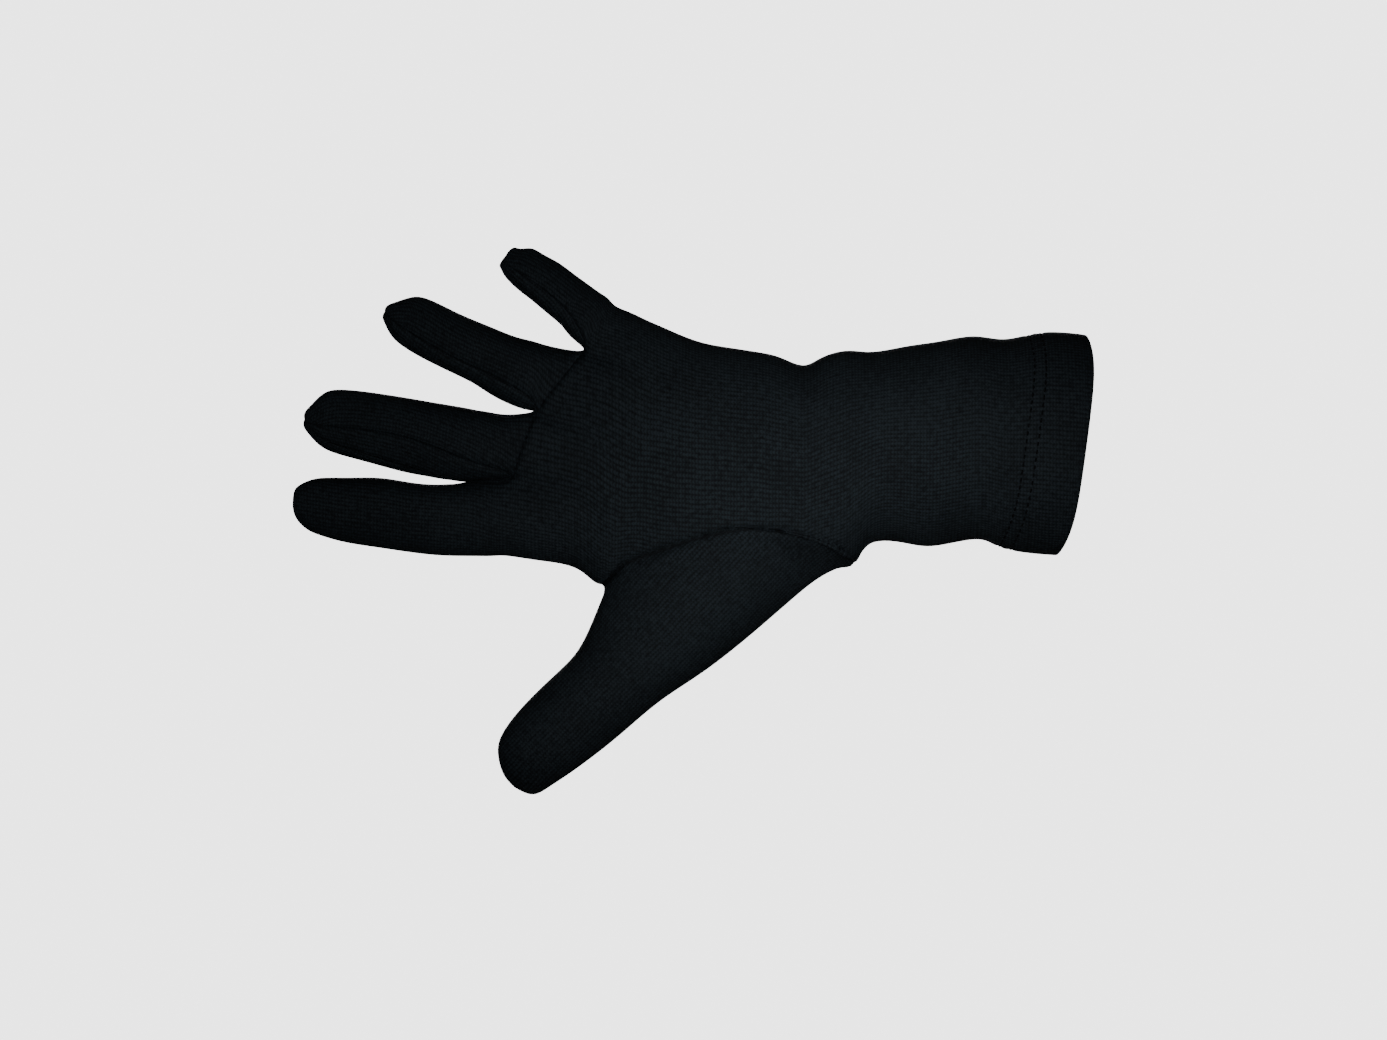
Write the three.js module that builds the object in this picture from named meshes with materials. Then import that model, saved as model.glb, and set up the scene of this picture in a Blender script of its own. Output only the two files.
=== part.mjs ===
// A knitted glove liner for the left hand, cut and sewn from panels, in millimetres.
// It stands in its worn form: the origin is the middle of the wrist, the fingers point
// along -X, the cuff opens along +X, the little finger side is up (+Z) and the palm
// faces -Y. The outer face of the knit is one net of sections from the mouth of the cuff
// to the five tips; each panel is a patch of that net with the thickness of the knit.
import * as THREE from 'three';

// The knit, and the gaps between sewn panels on its outer and inner face and between layers
const knitWall = 1.2;
const seamGap = 0.3;
const innerSeamGap = 0.9;
const layerGap = 0.3;

// The cuff, from the wrist to its mouth. The mouth is slanted, shorter on the thumb side.
const cuffLength = 74.8;
const cuffSlant = 9.8;
const mouthBow = 3.1;
const hemWidth = 18;
const cuffWidth = 72.5;
const cuffDepth = 50;

// The hand, from the wrist to the finger roots
const wristWidth = 64;
const wristDepth = 41;
const palmLength = 108;
const palmWidth = 82.5;
const palmDepth = 33;

// The fingers: length from the root, width, depth, rise of the axis above -X in degrees,
// and how far the tip leans towards the palm
const fingers = {
  index: { length: 71.4, width: 22.8, depth: 18, rise: 3.7, curl: 9 },
  middle: { length: 72.7, width: 24, depth: 18.5, rise: 6.3, curl: 11 },
  ring: { length: 62.2, width: 19, depth: 17, rise: 21.8, curl: 10 },
  little: { length: 39.3, width: 15.6, depth: 15, rise: 35.4, curl: 6 },
};

// The thumb, from the middle of its opening to the tip, with the fall of its axis below
// -X in degrees and how far the tip leans towards the palm
const thumbLength = 98.5;
const thumbWidth = 30;
const thumbDepth = 23;
const thumbFall = 45.5;
const thumbLean = 15;

// How full the sections are: 2 is an ellipse and more is squarer
const cuffFullness = 2.15;
const palmFullness = 2.5;
const fingerFullness = 2.3;
const mouthFullness = 5;

// The number of strips across each finger, which run on over the hand to the cuff
const fingerStrips = { little: 5, ring: 4, middle: 4, index: 5 };
const handStrips = Object.values(fingerStrips).reduce((sum, strips) => sum + strips);

// A table of sections: the names of its columns, then a row for each section
function table(names, sections) {
  return sections.map((values) => Object.fromEntries(names.map((name, k) => [name, values[k]])));
}

// The hem's sections, from the mouth to the stitches. inHem is a share of hemWidth, slant
// and bow of cuffSlant and mouthBow, and grow goes from the wrist's size to the cuff's.
// littleSide and thumbSide are shares of that width, front and back of that depth.
const hemSections = table(
  ['inHem', 'slant', 'bow', 'grow', 'littleSide', 'thumbSide', 'front', 'back'],
  [
    [0.00, 1.00, 1.0, 0.93, 0.515, 0.488, 0.500, 0.500],
    [0.12, 0.99, 1.0, 0.92, 0.526, 0.487, 0.505, 0.505],
    [0.52, 0.90, 0.9, 0.82, 0.542, 0.486, 0.510, 0.500],
    [1.00, 0.82, 0.7, 0.72, 0.544, 0.475, 0.500, 0.490],
  ],
);

// The rest of the cuff, to the wrist. along is a share of the length from wrist to hem.
const cuffSections = table(
  ['along', 'slant', 'bow', 'grow', 'littleSide', 'thumbSide', 'front', 'back'],
  [
    [0.82, 0.32, 0.3, 0.60, 0.523, 0.456, 0.495, 0.510],
    [0.65, 0.00, 0.0, 0.49, 0.547, 0.436, 0.510, 0.500],
    [0.45, 0.16, 0.0, 0.33, 0.531, 0.479, 0.500, 0.515],
    [0.26, 0.00, 0.0, 0.19, 0.518, 0.475, 0.505, 0.500],
    [0.06, -0.04, 0.0, 0.05, 0.497, 0.480, 0.495, 0.480],
  ],
);

// The hand's sections, from the wrist to the fingers. Each runs from the little finger
// side, littleAlong from the wrist, to the thumb side, thumbAlong from it, as shares of
// palmLength. frontReach and backReach below 1 stop it at the opening for the thumb. bow
// bends it towards the line of the roots, and even spaces its strips as the fingers are.
const handSections = table(
  ['littleAlong', 'thumbAlong', 'grow', 'littleSide', 'thumbSide', 'frontReach', 'backReach',
    'front', 'back', 'bow', 'even'],
  [
    [0.043, 0.021, 0.31, 0.466, 0.534, 1.000, 1.00, 0.50, 0.47, 0.00, 0.00],
    [0.122, 0.079, 0.41, 0.424, 0.576, 0.880, 0.95, 0.50, 0.44, 0.00, 0.00],
    [0.180, 0.183, 0.47, 0.379, 0.621, 0.773, 0.92, 0.51, 0.43, 0.00, 0.05],
    [0.251, 0.306, 0.66, 0.398, 0.602, 0.745, 0.90, 0.52, 0.42, 0.00, 0.12],
    [0.321, 0.428, 0.75, 0.411, 0.589, 0.758, 0.89, 0.52, 0.42, 0.00, 0.20],
    [0.397, 0.550, 0.80, 0.423, 0.577, 0.803, 0.90, 0.51, 0.42, 0.00, 0.30],
    [0.471, 0.663, 0.86, 0.434, 0.566, 0.864, 0.92, 0.50, 0.42, 0.03, 0.40],
    [0.538, 0.746, 0.93, 0.455, 0.545, 0.927, 0.96, 0.48, 0.42, 0.08, 0.50],
    [0.602, 0.798, 1.00, 0.484, 0.548, 1.000, 1.00, 0.46, 0.41, 0.18, 0.60],
    [0.663, 0.868, 1.00, 0.519, 0.479, 1.000, 1.00, 0.43, 0.39, 0.42, 0.80],
    [0.709, 0.984, 1.00, 0.548, 0.448, 1.000, 1.00, 0.38, 0.35, 0.72, 0.92],
  ],
);

// The line of the finger roots: the little finger side, the three forks between the
// fingers and the thumb side, as shares of palmLength and palmWidth
const rootLine = {
  littleSide: { along: 0.752, out: 0.572 },
  ringFork: { along: 0.849, out: 0.388 },
  middleFork: { along: 0.996, out: 0.148 },
  indexFork: { along: 1.069, out: -0.116 },
  thumbSide: { along: 1.082, out: -0.428 },
};

// A finger's half depth at its root, as a share of its depth
const rootHeight = 0.52;

// The fingers' sections. along is a share of the length, up and down are half widths
// towards the little finger and the thumb side, front and back half depths, as shares of
// width and depth. turn is the twist of the knit round the finger and wedge half the
// angle that the strip at its side takes up, in degrees.
const fingerColumns = ['along', 'up', 'down', 'front', 'back', 'turn', 'wedge'];
const fingerSections = {
  index: table(fingerColumns, [
    [0.070, 0.500, 0.583, 0.53, 0.47, -6, 34],
    [0.160, 0.450, 0.601, 0.53, 0.48, -16, 31],
    [0.300, 0.404, 0.623, 0.52, 0.50, -22, 29],
    [0.450, 0.400, 0.605, 0.50, 0.50, -24, 28],
    [0.600, 0.443, 0.566, 0.48, 0.48, -24, 26],
    [0.740, 0.421, 0.526, 0.45, 0.44, -24, 23],
    [0.850, 0.404, 0.456, 0.40, 0.38, -24, 20],
    [0.920, 0.360, 0.382, 0.33, 0.31, -24, 17],
    [0.970, 0.276, 0.254, 0.24, 0.22, -24, 15],
    [0.992, 0.202, 0.114, 0.14, 0.13, -24, 14],
  ]),
  middle: table(fingerColumns, [
    [0.090, 0.392, 0.490, 0.52, 0.47, -12, 33],
    [0.180, 0.398, 0.555, 0.52, 0.48, -25, 31],
    [0.300, 0.421, 0.600, 0.51, 0.50, -39, 29],
    [0.450, 0.450, 0.567, 0.50, 0.50, -52, 28],
    [0.600, 0.475, 0.517, 0.48, 0.48, -60, 26],
    [0.740, 0.488, 0.450, 0.44, 0.44, -64, 23],
    [0.850, 0.475, 0.392, 0.39, 0.38, -66, 20],
    [0.920, 0.404, 0.304, 0.31, 0.31, -66, 17],
    [0.970, 0.225, 0.167, 0.21, 0.21, -66, 15],
    [0.992, 0.125, 0.083, 0.13, 0.12, -66, 14],
  ]),
  ring: table(fingerColumns, [
    [0.120, 0.510, 0.680, 0.53, 0.49, -18, 33],
    [0.210, 0.485, 0.680, 0.52, 0.49, -26, 31],
    [0.320, 0.442, 0.645, 0.51, 0.50, -30, 29],
    [0.450, 0.442, 0.574, 0.50, 0.50, -30, 28],
    [0.600, 0.442, 0.537, 0.48, 0.48, -33, 26],
    [0.740, 0.474, 0.495, 0.44, 0.44, -42, 23],
    [0.850, 0.468, 0.432, 0.39, 0.38, -50, 20],
    [0.920, 0.332, 0.332, 0.30, 0.30, -56, 17],
    [0.970, 0.184, 0.184, 0.20, 0.20, -58, 15],
    [0.992, 0.105, 0.105, 0.12, 0.12, -58, 14],
  ]),
  little: table(fingerColumns, [
    [0.090, 0.628, 0.520, 0.54, 0.50, -16, 34],
    [0.190, 0.622, 0.474, 0.53, 0.50, -36, 31],
    [0.310, 0.622, 0.402, 0.51, 0.50, -50, 29],
    [0.450, 0.622, 0.378, 0.50, 0.50, -58, 28],
    [0.600, 0.628, 0.346, 0.48, 0.48, -62, 26],
    [0.740, 0.583, 0.333, 0.45, 0.44, -64, 23],
    [0.850, 0.551, 0.295, 0.40, 0.38, -66, 20],
    [0.920, 0.417, 0.244, 0.32, 0.31, -66, 17],
    [0.970, 0.378, 0.167, 0.23, 0.22, -66, 15],
    [0.992, 0.335, 0.115, 0.15, 0.14, -66, 14],
  ]),
};

// How far each tip stands towards the little finger's side of its axis, as a share of width
const tipShift = { index: 0.06, middle: 0.02, ring: 0, little: 0.12 };

// The seams on the back of a finger take up its twist over this share of its length
const turnStart = 0.45;

// The seams on the outer sides of the index and little fingers, in degrees from the middle
// of the palm side
const sideSeam = 92;

// The tips lean towards the palm by this power of the way along the finger
const curlPower = 1.5;

// The thumb's sections, from its opening to the tip: the ends at the web and on the outer
// side, as shares of thumbLength and thumbWidth, arch towards the hand as a share of
// thumbWidth, front and back as shares of thumbDepth, and lean as a share of thumbLean.
const thumbSections = table(
  ['webAlong', 'web', 'outerAlong', 'outer', 'arch', 'front', 'back', 'lean'],
  [
    [0.356, 0.781, -0.216, 0.753, 0.36, 0.70, 0.52, 0.00],
    [0.398, 0.736, -0.081, 0.695, 0.27, 0.71, 0.53, 0.06],
    [0.460, 0.660, 0.104, 0.642, 0.18, 0.68, 0.54, 0.16],
    [0.541, 0.585, 0.293, 0.559, 0.10, 0.62, 0.53, 0.30],
    [0.624, 0.579, 0.459, 0.445, 0.05, 0.56, 0.51, 0.46],
    [0.712, 0.590, 0.620, 0.393, 0.02, 0.53, 0.49, 0.62],
    [0.818, 0.586, 0.747, 0.342, 0.00, 0.50, 0.46, 0.78],
    [0.904, 0.541, 0.849, 0.285, 0.00, 0.44, 0.41, 0.91],
    [0.956, 0.444, 0.925, 0.230, 0.00, 0.33, 0.31, 0.98],
    [0.994, 0.255, 0.975, 0.170, 0.00, 0.18, 0.17, 1.00],
  ],
);
const thumbTip = { along: 1.003, web: 0.03 };

// The back of the thumb arches towards the hand by this share of its front
const thumbBackArch = 0.2;

const { lerp, degToRad } = THREE.MathUtils;
const lastOf = (list) => list[list.length - 1];

// The net: its points, and its faces, each with the name of the panel it belongs to
const points = [];
const faces = [];

function addPoint({ x, y, z }) {
  points.push(new THREE.Vector3(x, y, z));
  return points.length - 1;
}

// A row of faces between two rows of points of the same count. Where the points of a face
// fall together, as at a tip, it has three corners.
function joinRows(panel, rowA, rowB) {
  for (let k = 0; k + 1 < rowA.length; k += 1) {
    const corners = [rowA[k], rowB[k], rowB[k + 1], rowA[k + 1]];
    const round = corners.filter((corner, n) => corner !== corners[(n + 1) % corners.length]);
    faces.push({ panel, round });
  }
}

// The height of a full section, 1 in the middle, at a place from -1 to 1 across it
function sectionHeight(across, fullness) {
  return Math.pow(1 - Math.pow(Math.min(Math.abs(across), 1), fullness), 1 / fullness);
}

// The place across a full section and its height, at an angle from the middle of its front
function sectionPoint(angle) {
  const full = (value) => Math.sign(value) * Math.pow(Math.abs(value), 2 / fingerFullness);
  return { across: full(Math.sin(angle)), height: full(Math.cos(angle)) };
}

function spread(from, to, strips) {
  return Array.from({ length: strips + 1 }, (unused, k) => lerp(from, to, k / strips));
}

// The finger roots, from the little finger to the index

const rootSpans = [
  { name: 'little', from: 'littleSide', to: 'ringFork' },
  { name: 'ring', from: 'ringFork', to: 'middleFork' },
  { name: 'middle', from: 'middleFork', to: 'indexFork' },
  { name: 'index', from: 'indexFork', to: 'thumbSide' },
];
const rootAngles = { along: 0, turn: 0, wedge: 35 };

function rootPlace(name) {
  const { along, out } = rootLine[name];
  return new THREE.Vector3(-along * palmLength, 0, out * palmWidth);
}

// The angles at which a finger's front and back panels start and end, from the middle of
// its front. The thumb side is a quarter turn on, and the little finger side one back.
const quarterTurn = Math.PI / 2;

function seamAngles(name, section) {
  const wedge = degToRad(section.wedge);
  const frontTurn = degToRad(section.turn);
  const backTurn = frontTurn * Math.min(section.along / turnStart, 1);
  const side = degToRad(sideSeam);
  return {
    up: name === 'little' ? -side : frontTurn - quarterTurn + wedge,
    down: name === 'index' ? side : frontTurn + quarterTurn - wedge,
    backDown: name === 'index' ? side : backTurn + quarterTurn + wedge,
    backUp: (name === 'little' ? -side : backTurn - quarterTurn - wedge) + 4 * quarterTurn,
  };
}

// The places along one finger's root, on the palm side (-1) or the back (1) of the hand
function rootRow(span, side) {
  const seams = seamAngles(span.name, rootAngles);
  const angles = side < 0
    ? spread(seams.up, seams.down, fingerStrips[span.name])
    : spread(seams.backUp, seams.backDown, fingerStrips[span.name]);
  const places = angles.map(sectionPoint);
  const start = places[0].across;
  const reach = lastOf(places).across - start;
  return places.map(({ across, height }) => {
    const place = rootPlace(span.from).lerp(rootPlace(span.to), (across - start) / reach);
    place.y = -height * rootHeight * fingers[span.name].depth;
    return place;
  });
}

// The whole root row, in which two neighbouring fingers share the place at their fork
function wholeRootRow(side) {
  const whole = [];
  for (const span of rootSpans) {
    const row = rootRow(span, side);
    if (whole.length > 0) {
      row[0].y = (row[0].y + whole.pop().y) / 2;
    }
    whole.push(...row);
  }
  return whole;
}

const rootRows = { front: wholeRootRow(-1), back: wholeRootRow(1) };
const rootStart = rootPlace('littleSide');
const rootChord = rootPlace('thumbSide').sub(rootStart);

// How far a place lies along the straight line between the two ends of the root row
function chordShare(place) {
  const reach = new THREE.Vector3().subVectors(place, rootStart).setY(0);
  return reach.dot(rootChord) / rootChord.lengthSq();
}

// The rows of the cuff and the hand

// Where a strip's edge lies across a section: bunched towards the two rounded sides at
// the cuff, and in step with the fingers at their roots
function stripPlace(k, even, roots) {
  const bunched = (1 - Math.cos(Math.PI * k / handStrips)) / 2;
  return lerp(bunched, chordShare(roots[k]), even);
}

function cuffRow(section, side) {
  const width = lerp(wristWidth, cuffWidth, section.grow);
  const depth = lerp(wristDepth, cuffDepth, section.grow) * (side < 0 ? section.front : section.back);
  const along = section.inHem === undefined
    ? section.along * (cuffLength - hemWidth)
    : cuffLength - hemWidth * section.inHem;
  return rootRows.front.map((root, k) => {
    const place = stripPlace(k, 0, rootRows.front);
    const across = 2 * place - 1;
    const bow = mouthBow * section.bow * (1 - Math.pow(Math.abs(across), mouthFullness));
    const x = along - cuffSlant * section.slant * place + bow;
    const z = lerp(width * section.littleSide, -width * section.thumbSide, place);
    return new THREE.Vector3(x, side * depth * sectionHeight(across, cuffFullness), z);
  });
}

function handRow(section, side) {
  const width = lerp(wristWidth, palmWidth, section.grow);
  const depth = lerp(wristDepth, palmDepth, section.grow) * (side < 0 ? section.front : section.back);
  const reach = side < 0 ? section.frontReach : section.backReach;
  const roots = side < 0 ? rootRows.front : rootRows.back;
  const start = new THREE.Vector3(-section.littleAlong * palmLength, 0, width * section.littleSide);
  const end = new THREE.Vector3(-section.thumbAlong * palmLength, 0, -width * section.thumbSide);
  const fullness = lerp(cuffFullness, palmFullness, section.grow);
  return roots.map((root, k) => {
    const place = stripPlace(k, section.even, roots) * reach;
    const spot = new THREE.Vector3().lerpVectors(start, end, place);
    const onChord = new THREE.Vector3().copy(rootStart).addScaledVector(rootChord, chordShare(root));
    const bend = new THREE.Vector3().subVectors(root, onChord).setY(0);
    spot.addScaledVector(bend, section.bow);
    const smooth = side * depth * sectionHeight(2 * place - 1, fullness);
    spot.y = lerp(smooth, root.y, section.bow * section.bow);
    return spot;
  });
}

// The front and the back of a row share their points on the two side seams, except beside
// the opening for the thumb, where each has an edge of its own
const rows = [];

function addRow(frontPlaces, backPlaces, isOpen) {
  const front = frontPlaces.map(addPoint);
  const back = backPlaces.map((place, k) => {
    const isShared = k === 0 || (k === handStrips && !isOpen);
    return isShared ? front[k] : addPoint(place);
  });
  rows.push({ front, back });
}

for (const section of [...hemSections, ...cuffSections]) {
  addRow(cuffRow(section, -1), cuffRow(section, 1), false);
}
const wristRow = rows.length;
for (const section of handSections) {
  addRow(handRow(section, -1), handRow(section, 1), section.frontReach < 1);
}
addRow(rootRows.front, rootRows.back, false);

for (let k = 0; k + 1 < rows.length; k += 1) {
  joinRows('palm', rows[k].front, rows[k + 1].front);
  joinRows('back', rows[k + 1].back, rows[k].back);
}

// The fingers, from their roots to their tips. The fork between two fingers has a point on
// the front, one in its middle and one on the back.

const frontPanels = {
  index: 'palm',
  middle: 'middle_finger_front',
  ring: 'ring_finger_front',
  little: 'palm',
};
const forkPanels = {
  ringFork: 'fourchette_ring_little',
  middleFork: 'fourchette_middle_ring',
  indexFork: 'fourchette_index_middle',
};
const forkMiddles = {};
for (const fork of Object.keys(forkPanels)) {
  forkMiddles[fork] = addPoint(rootPlace(fork));
}

// The four parts of a ring round a finger, each with its panel and its points: the front,
// the side towards the thumb, the back and the side towards the little finger. The outer
// sides of the index and little fingers are a seam, without a strip.
function ringParts(span, front, downMiddle, back, upMiddle) {
  const parts = [
    { panel: frontPanels[span.name], ring: front },
    { panel: 'back', ring: back },
  ];
  if (downMiddle !== null) {
    parts.push({ panel: forkPanels[span.to], ring: [lastOf(front), downMiddle, back[0]] });
  }
  if (upMiddle !== null) {
    parts.push({ panel: forkPanels[span.from], ring: [lastOf(back), upMiddle, front[0]] });
  }
  return parts;
}

function joinRings(above, below) {
  above.forEach(({ panel, ring }, k) => joinRows(panel, ring, below[k].ring));
}

function addFinger(span, firstStrip) {
  const finger = fingers[span.name];
  const strips = fingerStrips[span.name];
  const rise = degToRad(finger.rise);
  const axis = new THREE.Vector3(-Math.cos(rise), 0, Math.sin(rise));
  const down = new THREE.Vector3(-Math.sin(rise), 0, -Math.cos(rise));
  const root = rootPlace(span.from).lerp(rootPlace(span.to), 0.5);
  const hasUp = span.from in forkMiddles;
  const hasDown = span.to in forkMiddles;
  const placeAt = (along, across) => {
    const place = new THREE.Vector3().copy(root).addScaledVector(axis, along * finger.length);
    place.addScaledVector(down, across * finger.width);
    place.y = -finger.curl * Math.pow(along, curlPower);
    return place;
  };

  const roots = lastOf(rows);
  const frontRoots = roots.front.slice(firstStrip, firstStrip + strips + 1);
  const backRoots = roots.back.slice(firstStrip, firstStrip + strips + 1).reverse();
  const downFork = hasDown ? forkMiddles[span.to] : null;
  const upFork = hasUp ? forkMiddles[span.from] : null;
  let above = ringParts(span, frontRoots, downFork, backRoots, upFork);

  for (const section of fingerSections[span.name]) {
    const angles = seamAngles(span.name, section);
    const pointAt = (angle) => {
      const { across, height } = sectionPoint(angle);
      const place = placeAt(section.along, across * (across < 0 ? section.up : section.down));
      place.y -= height * finger.depth * (height > 0 ? section.front : section.back);
      return addPoint(place);
    };
    const front = spread(angles.up, angles.down, strips).map(pointAt);
    const back = spread(angles.backDown, angles.backUp, strips).map((degrees, k) => {
      if (k === 0 && !hasDown) {
        return lastOf(front);
      }
      return k === strips && !hasUp ? front[0] : pointAt(degrees);
    });
    const downMiddle = hasDown ? pointAt((angles.down + angles.backDown) / 2) : null;
    const upMiddle = hasUp ? pointAt((angles.up + angles.backUp) / 2 - 2 * quarterTurn) : null;
    const below = ringParts(span, front, downMiddle, back, upMiddle);
    joinRings(above, below);
    above = below;
  }

  const tip = addPoint(placeAt(1, -tipShift[span.name]));
  joinRings(above, above.map(({ ring }) => ({ ring: ring.map(() => tip) })));
}

let firstStrip = 0;
for (const span of rootSpans) {
  addFinger(span, firstStrip);
  firstStrip += fingerStrips[span.name];
}

// The thumb, from its opening beside the palm to its tip

const openCount = handSections.filter((section) => section.frontReach < 1).length;
const openRows = rows.slice(wristRow, wristRow + openCount + 2).reverse();
const thumbStrips = openRows.length - 1;
const openFront = openRows.map((row) => lastOf(row.front));
const openBack = openRows.map((row) => lastOf(row.back)).reverse();
const thumbRoot = new THREE.Vector3().lerpVectors(points[openFront[0]], points[openBack[0]], 0.5);
const fall = degToRad(thumbFall);
const thumbAxis = new THREE.Vector3(-Math.cos(fall), 0, -Math.sin(fall));
const thumbOut = new THREE.Vector3(Math.sin(fall), 0, -Math.cos(fall));

function thumbPlace(along, out, lean) {
  const place = new THREE.Vector3().copy(thumbRoot);
  place.addScaledVector(thumbAxis, along * thumbLength);
  place.addScaledVector(thumbOut, out * thumbWidth);
  place.y = -thumbLean * lean;
  return place;
}

let frontAbove = openFront;
let backAbove = openBack;
for (const section of thumbSections) {
  const web = thumbPlace(section.webAlong, -section.web, section.lean);
  const outer = thumbPlace(section.outerAlong, section.outer, section.lean);
  const chord = new THREE.Vector3().subVectors(outer, web).normalize();
  const towardsHand = new THREE.Vector3(-chord.z, 0, chord.x);
  const pointAt = (angle, side) => {
    const { across, height } = sectionPoint(angle);
    const place = new THREE.Vector3().lerpVectors(web, outer, (1 + across) / 2);
    const arch = section.arch * (side < 0 ? 1 : thumbBackArch);
    place.addScaledVector(towardsHand, arch * thumbWidth * height);
    place.y += side * height * thumbDepth * (side < 0 ? section.front : section.back);
    return addPoint(place);
  };
  const angles = spread(-quarterTurn, quarterTurn, thumbStrips);
  const front = angles.map((angle) => pointAt(angle, -1));
  const backMiddle = angles.slice(1, -1).reverse().map((angle) => pointAt(angle, 1));
  const back = [lastOf(front), ...backMiddle, front[0]];
  joinRows('thumb', frontAbove, front);
  joinRows('thumb', backAbove, back);
  frontAbove = front;
  backAbove = back;
}
const thumbEnd = addPoint(thumbPlace(thumbTip.along, -thumbTip.web, 1));
joinRows('thumb', frontAbove, frontAbove.map(() => thumbEnd));
joinRows('thumb', backAbove, backAbove.map(() => thumbEnd));

// The outward direction at each point, from the faces round it, each with the weight of
// the angle that it has there
const outward = points.map(() => new THREE.Vector3());
for (const { round } of faces) {
  round.forEach((corner, k) => {
    const next = round[(k + 1) % round.length];
    const previous = round[(k + round.length - 1) % round.length];
    const ahead = new THREE.Vector3().subVectors(points[next], points[corner]);
    const behind = new THREE.Vector3().subVectors(points[previous], points[corner]);
    const weight = ahead.angleTo(behind);
    outward[corner].addScaledVector(ahead.cross(behind).normalize(), weight);
  });
}
outward.forEach((direction) => direction.normalize());

// The edges of a patch of faces, by the names of their two points
function edgesOf(patch) {
  const edges = new Map();
  for (const { round } of patch) {
    round.forEach((from, k) => {
      const to = round[(k + 1) % round.length];
      edges.set(`${from} ${to}`, [from, to]);
    });
  }
  return edges;
}

const netEdges = edgesOf(faces);

// Edges closer to one line than this, as the cosine of their angle, move as one
const straightEdge = 0.99;

// A sharp corner moves back by no more than this many times the seam gap
const sharpReach = 4;

// How far each point on the border of a patch moves so that both edges beside it stand
// half the gap back from the next panel. An edge with no next panel stays where it is.
function borderShifts(border, gap) {
  const sides = new Map();
  for (const [from, to] of border) {
    const isSewn = netEdges.has(`${to} ${from}`);
    const run = new THREE.Vector3().subVectors(points[to], points[from]);
    for (const corner of [from, to]) {
      const inwards = new THREE.Vector3().crossVectors(outward[corner], run).normalize();
      sides.set(corner, [...(sides.get(corner) ?? []), { inwards, back: isSewn ? gap / 2 : 0 }]);
    }
  }
  const shifts = new Map();
  for (const [corner, [a, b]] of sides) {
    const turn = a.inwards.dot(b.inwards);
    const shift = new THREE.Vector3();
    if (turn > straightEdge) {
      shift.addVectors(a.inwards, b.inwards).setLength((a.back + b.back) / 2);
    } else {
      shift.addScaledVector(a.inwards, (a.back - turn * b.back) / (1 - turn * turn));
      shift.addScaledVector(b.inwards, (b.back - turn * a.back) / (1 - turn * turn));
    }
    shifts.set(corner, shift.clampLength(0, sharpReach * gap));
  }
  return shifts;
}

// A panel: a patch of the net as a closed wall between two depths under it
function panelGeometry(patch, outerDepth, innerDepth, gap) {
  const edges = edgesOf(patch);
  const border = [...edges.values()].filter(([from, to]) => !edges.has(`${to} ${from}`));
  const shifts = borderShifts(border, gap);
  const still = new THREE.Vector3();

  // Each point of the patch has its outer place in the list, then its inner place
  const indexOf = new Map();
  const places = [];
  for (const corner of new Set(patch.flatMap(({ round }) => round))) {
    const shift = shifts.get(corner) ?? still;
    const outer = new THREE.Vector3().copy(points[corner]).add(shift);
    const inner = new THREE.Vector3().copy(points[corner]).addScaledVector(shift, innerSeamGap / seamGap);
    indexOf.set(corner, places.length);
    places.push(outer.addScaledVector(outward[corner], -outerDepth));
    places.push(inner.addScaledVector(outward[corner], -innerDepth));
  }

  const triangles = [];
  const addTriangle = (...corners) => {
    const outer = corners.map((corner) => indexOf.get(corner));
    triangles.push(...outer, ...outer.map((index) => index + 1).reverse());
  };
  for (const { round } of patch) {
    const [a, b, c, d] = round;
    if (round.length === 3) {
      addTriangle(a, b, c);
    } else if (points[a].distanceTo(points[c]) < points[b].distanceTo(points[d])) {
      addTriangle(a, b, c);
      addTriangle(a, c, d);
    } else {
      addTriangle(a, b, d);
      addTriangle(b, c, d);
    }
  }
  for (const [from, to] of border) {
    const a = indexOf.get(from);
    const b = indexOf.get(to);
    triangles.push(b, a, a + 1, b, a + 1, b + 1);
  }

  const geometry = new THREE.BufferGeometry();
  const numbers = places.flatMap((place) => place.toArray());
  geometry.setAttribute('position', new THREE.Float32BufferAttribute(numbers, 3));
  geometry.setIndex(triangles);
  geometry.computeVertexNormals();
  return geometry;
}

// The knit: a near-black blue-grey, matt, a little lighter where the hem doubles it
const knit = new THREE.MeshStandardMaterial({ color: 0x12161a, roughness: 0.92, metalness: 0 });
const hemKnit = new THREE.MeshStandardMaterial({ color: 0x15191c, roughness: 0.94, metalness: 0 });

const gloveLiner = new THREE.Group();

function addPiece(name, geometry, material) {
  const mesh = new THREE.Mesh(geometry, material);
  mesh.name = name;
  gloveLiner.add(mesh);
}

for (const name of new Set(faces.map(({ panel }) => panel))) {
  const patch = faces.filter(({ panel }) => panel === name);
  addPiece(name, panelGeometry(patch, 0, knitWall, seamGap), knit);
}

// The hem: the end of the cuff turned in, a second layer under the palm and the back
const hemRows = rows.slice(0, hemSections.length);
const hemPoints = new Set(hemRows.flatMap((row) => [...row.front, ...row.back]));
const hemPatch = faces.filter(({ round }) => round.every((corner) => hemPoints.has(corner)));
const hemDepth = knitWall + layerGap;
addPiece('cuff_hem', panelGeometry(hemPatch, hemDepth, hemDepth + knitWall, 0), hemKnit);

export default gloveLiner;
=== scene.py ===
import math
from functools import partial

import bpy
import numpy as np
from bpy.props import FloatProperty, FloatVectorProperty, PointerProperty
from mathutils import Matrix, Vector
from mathutils.kdtree import KDTree


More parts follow.
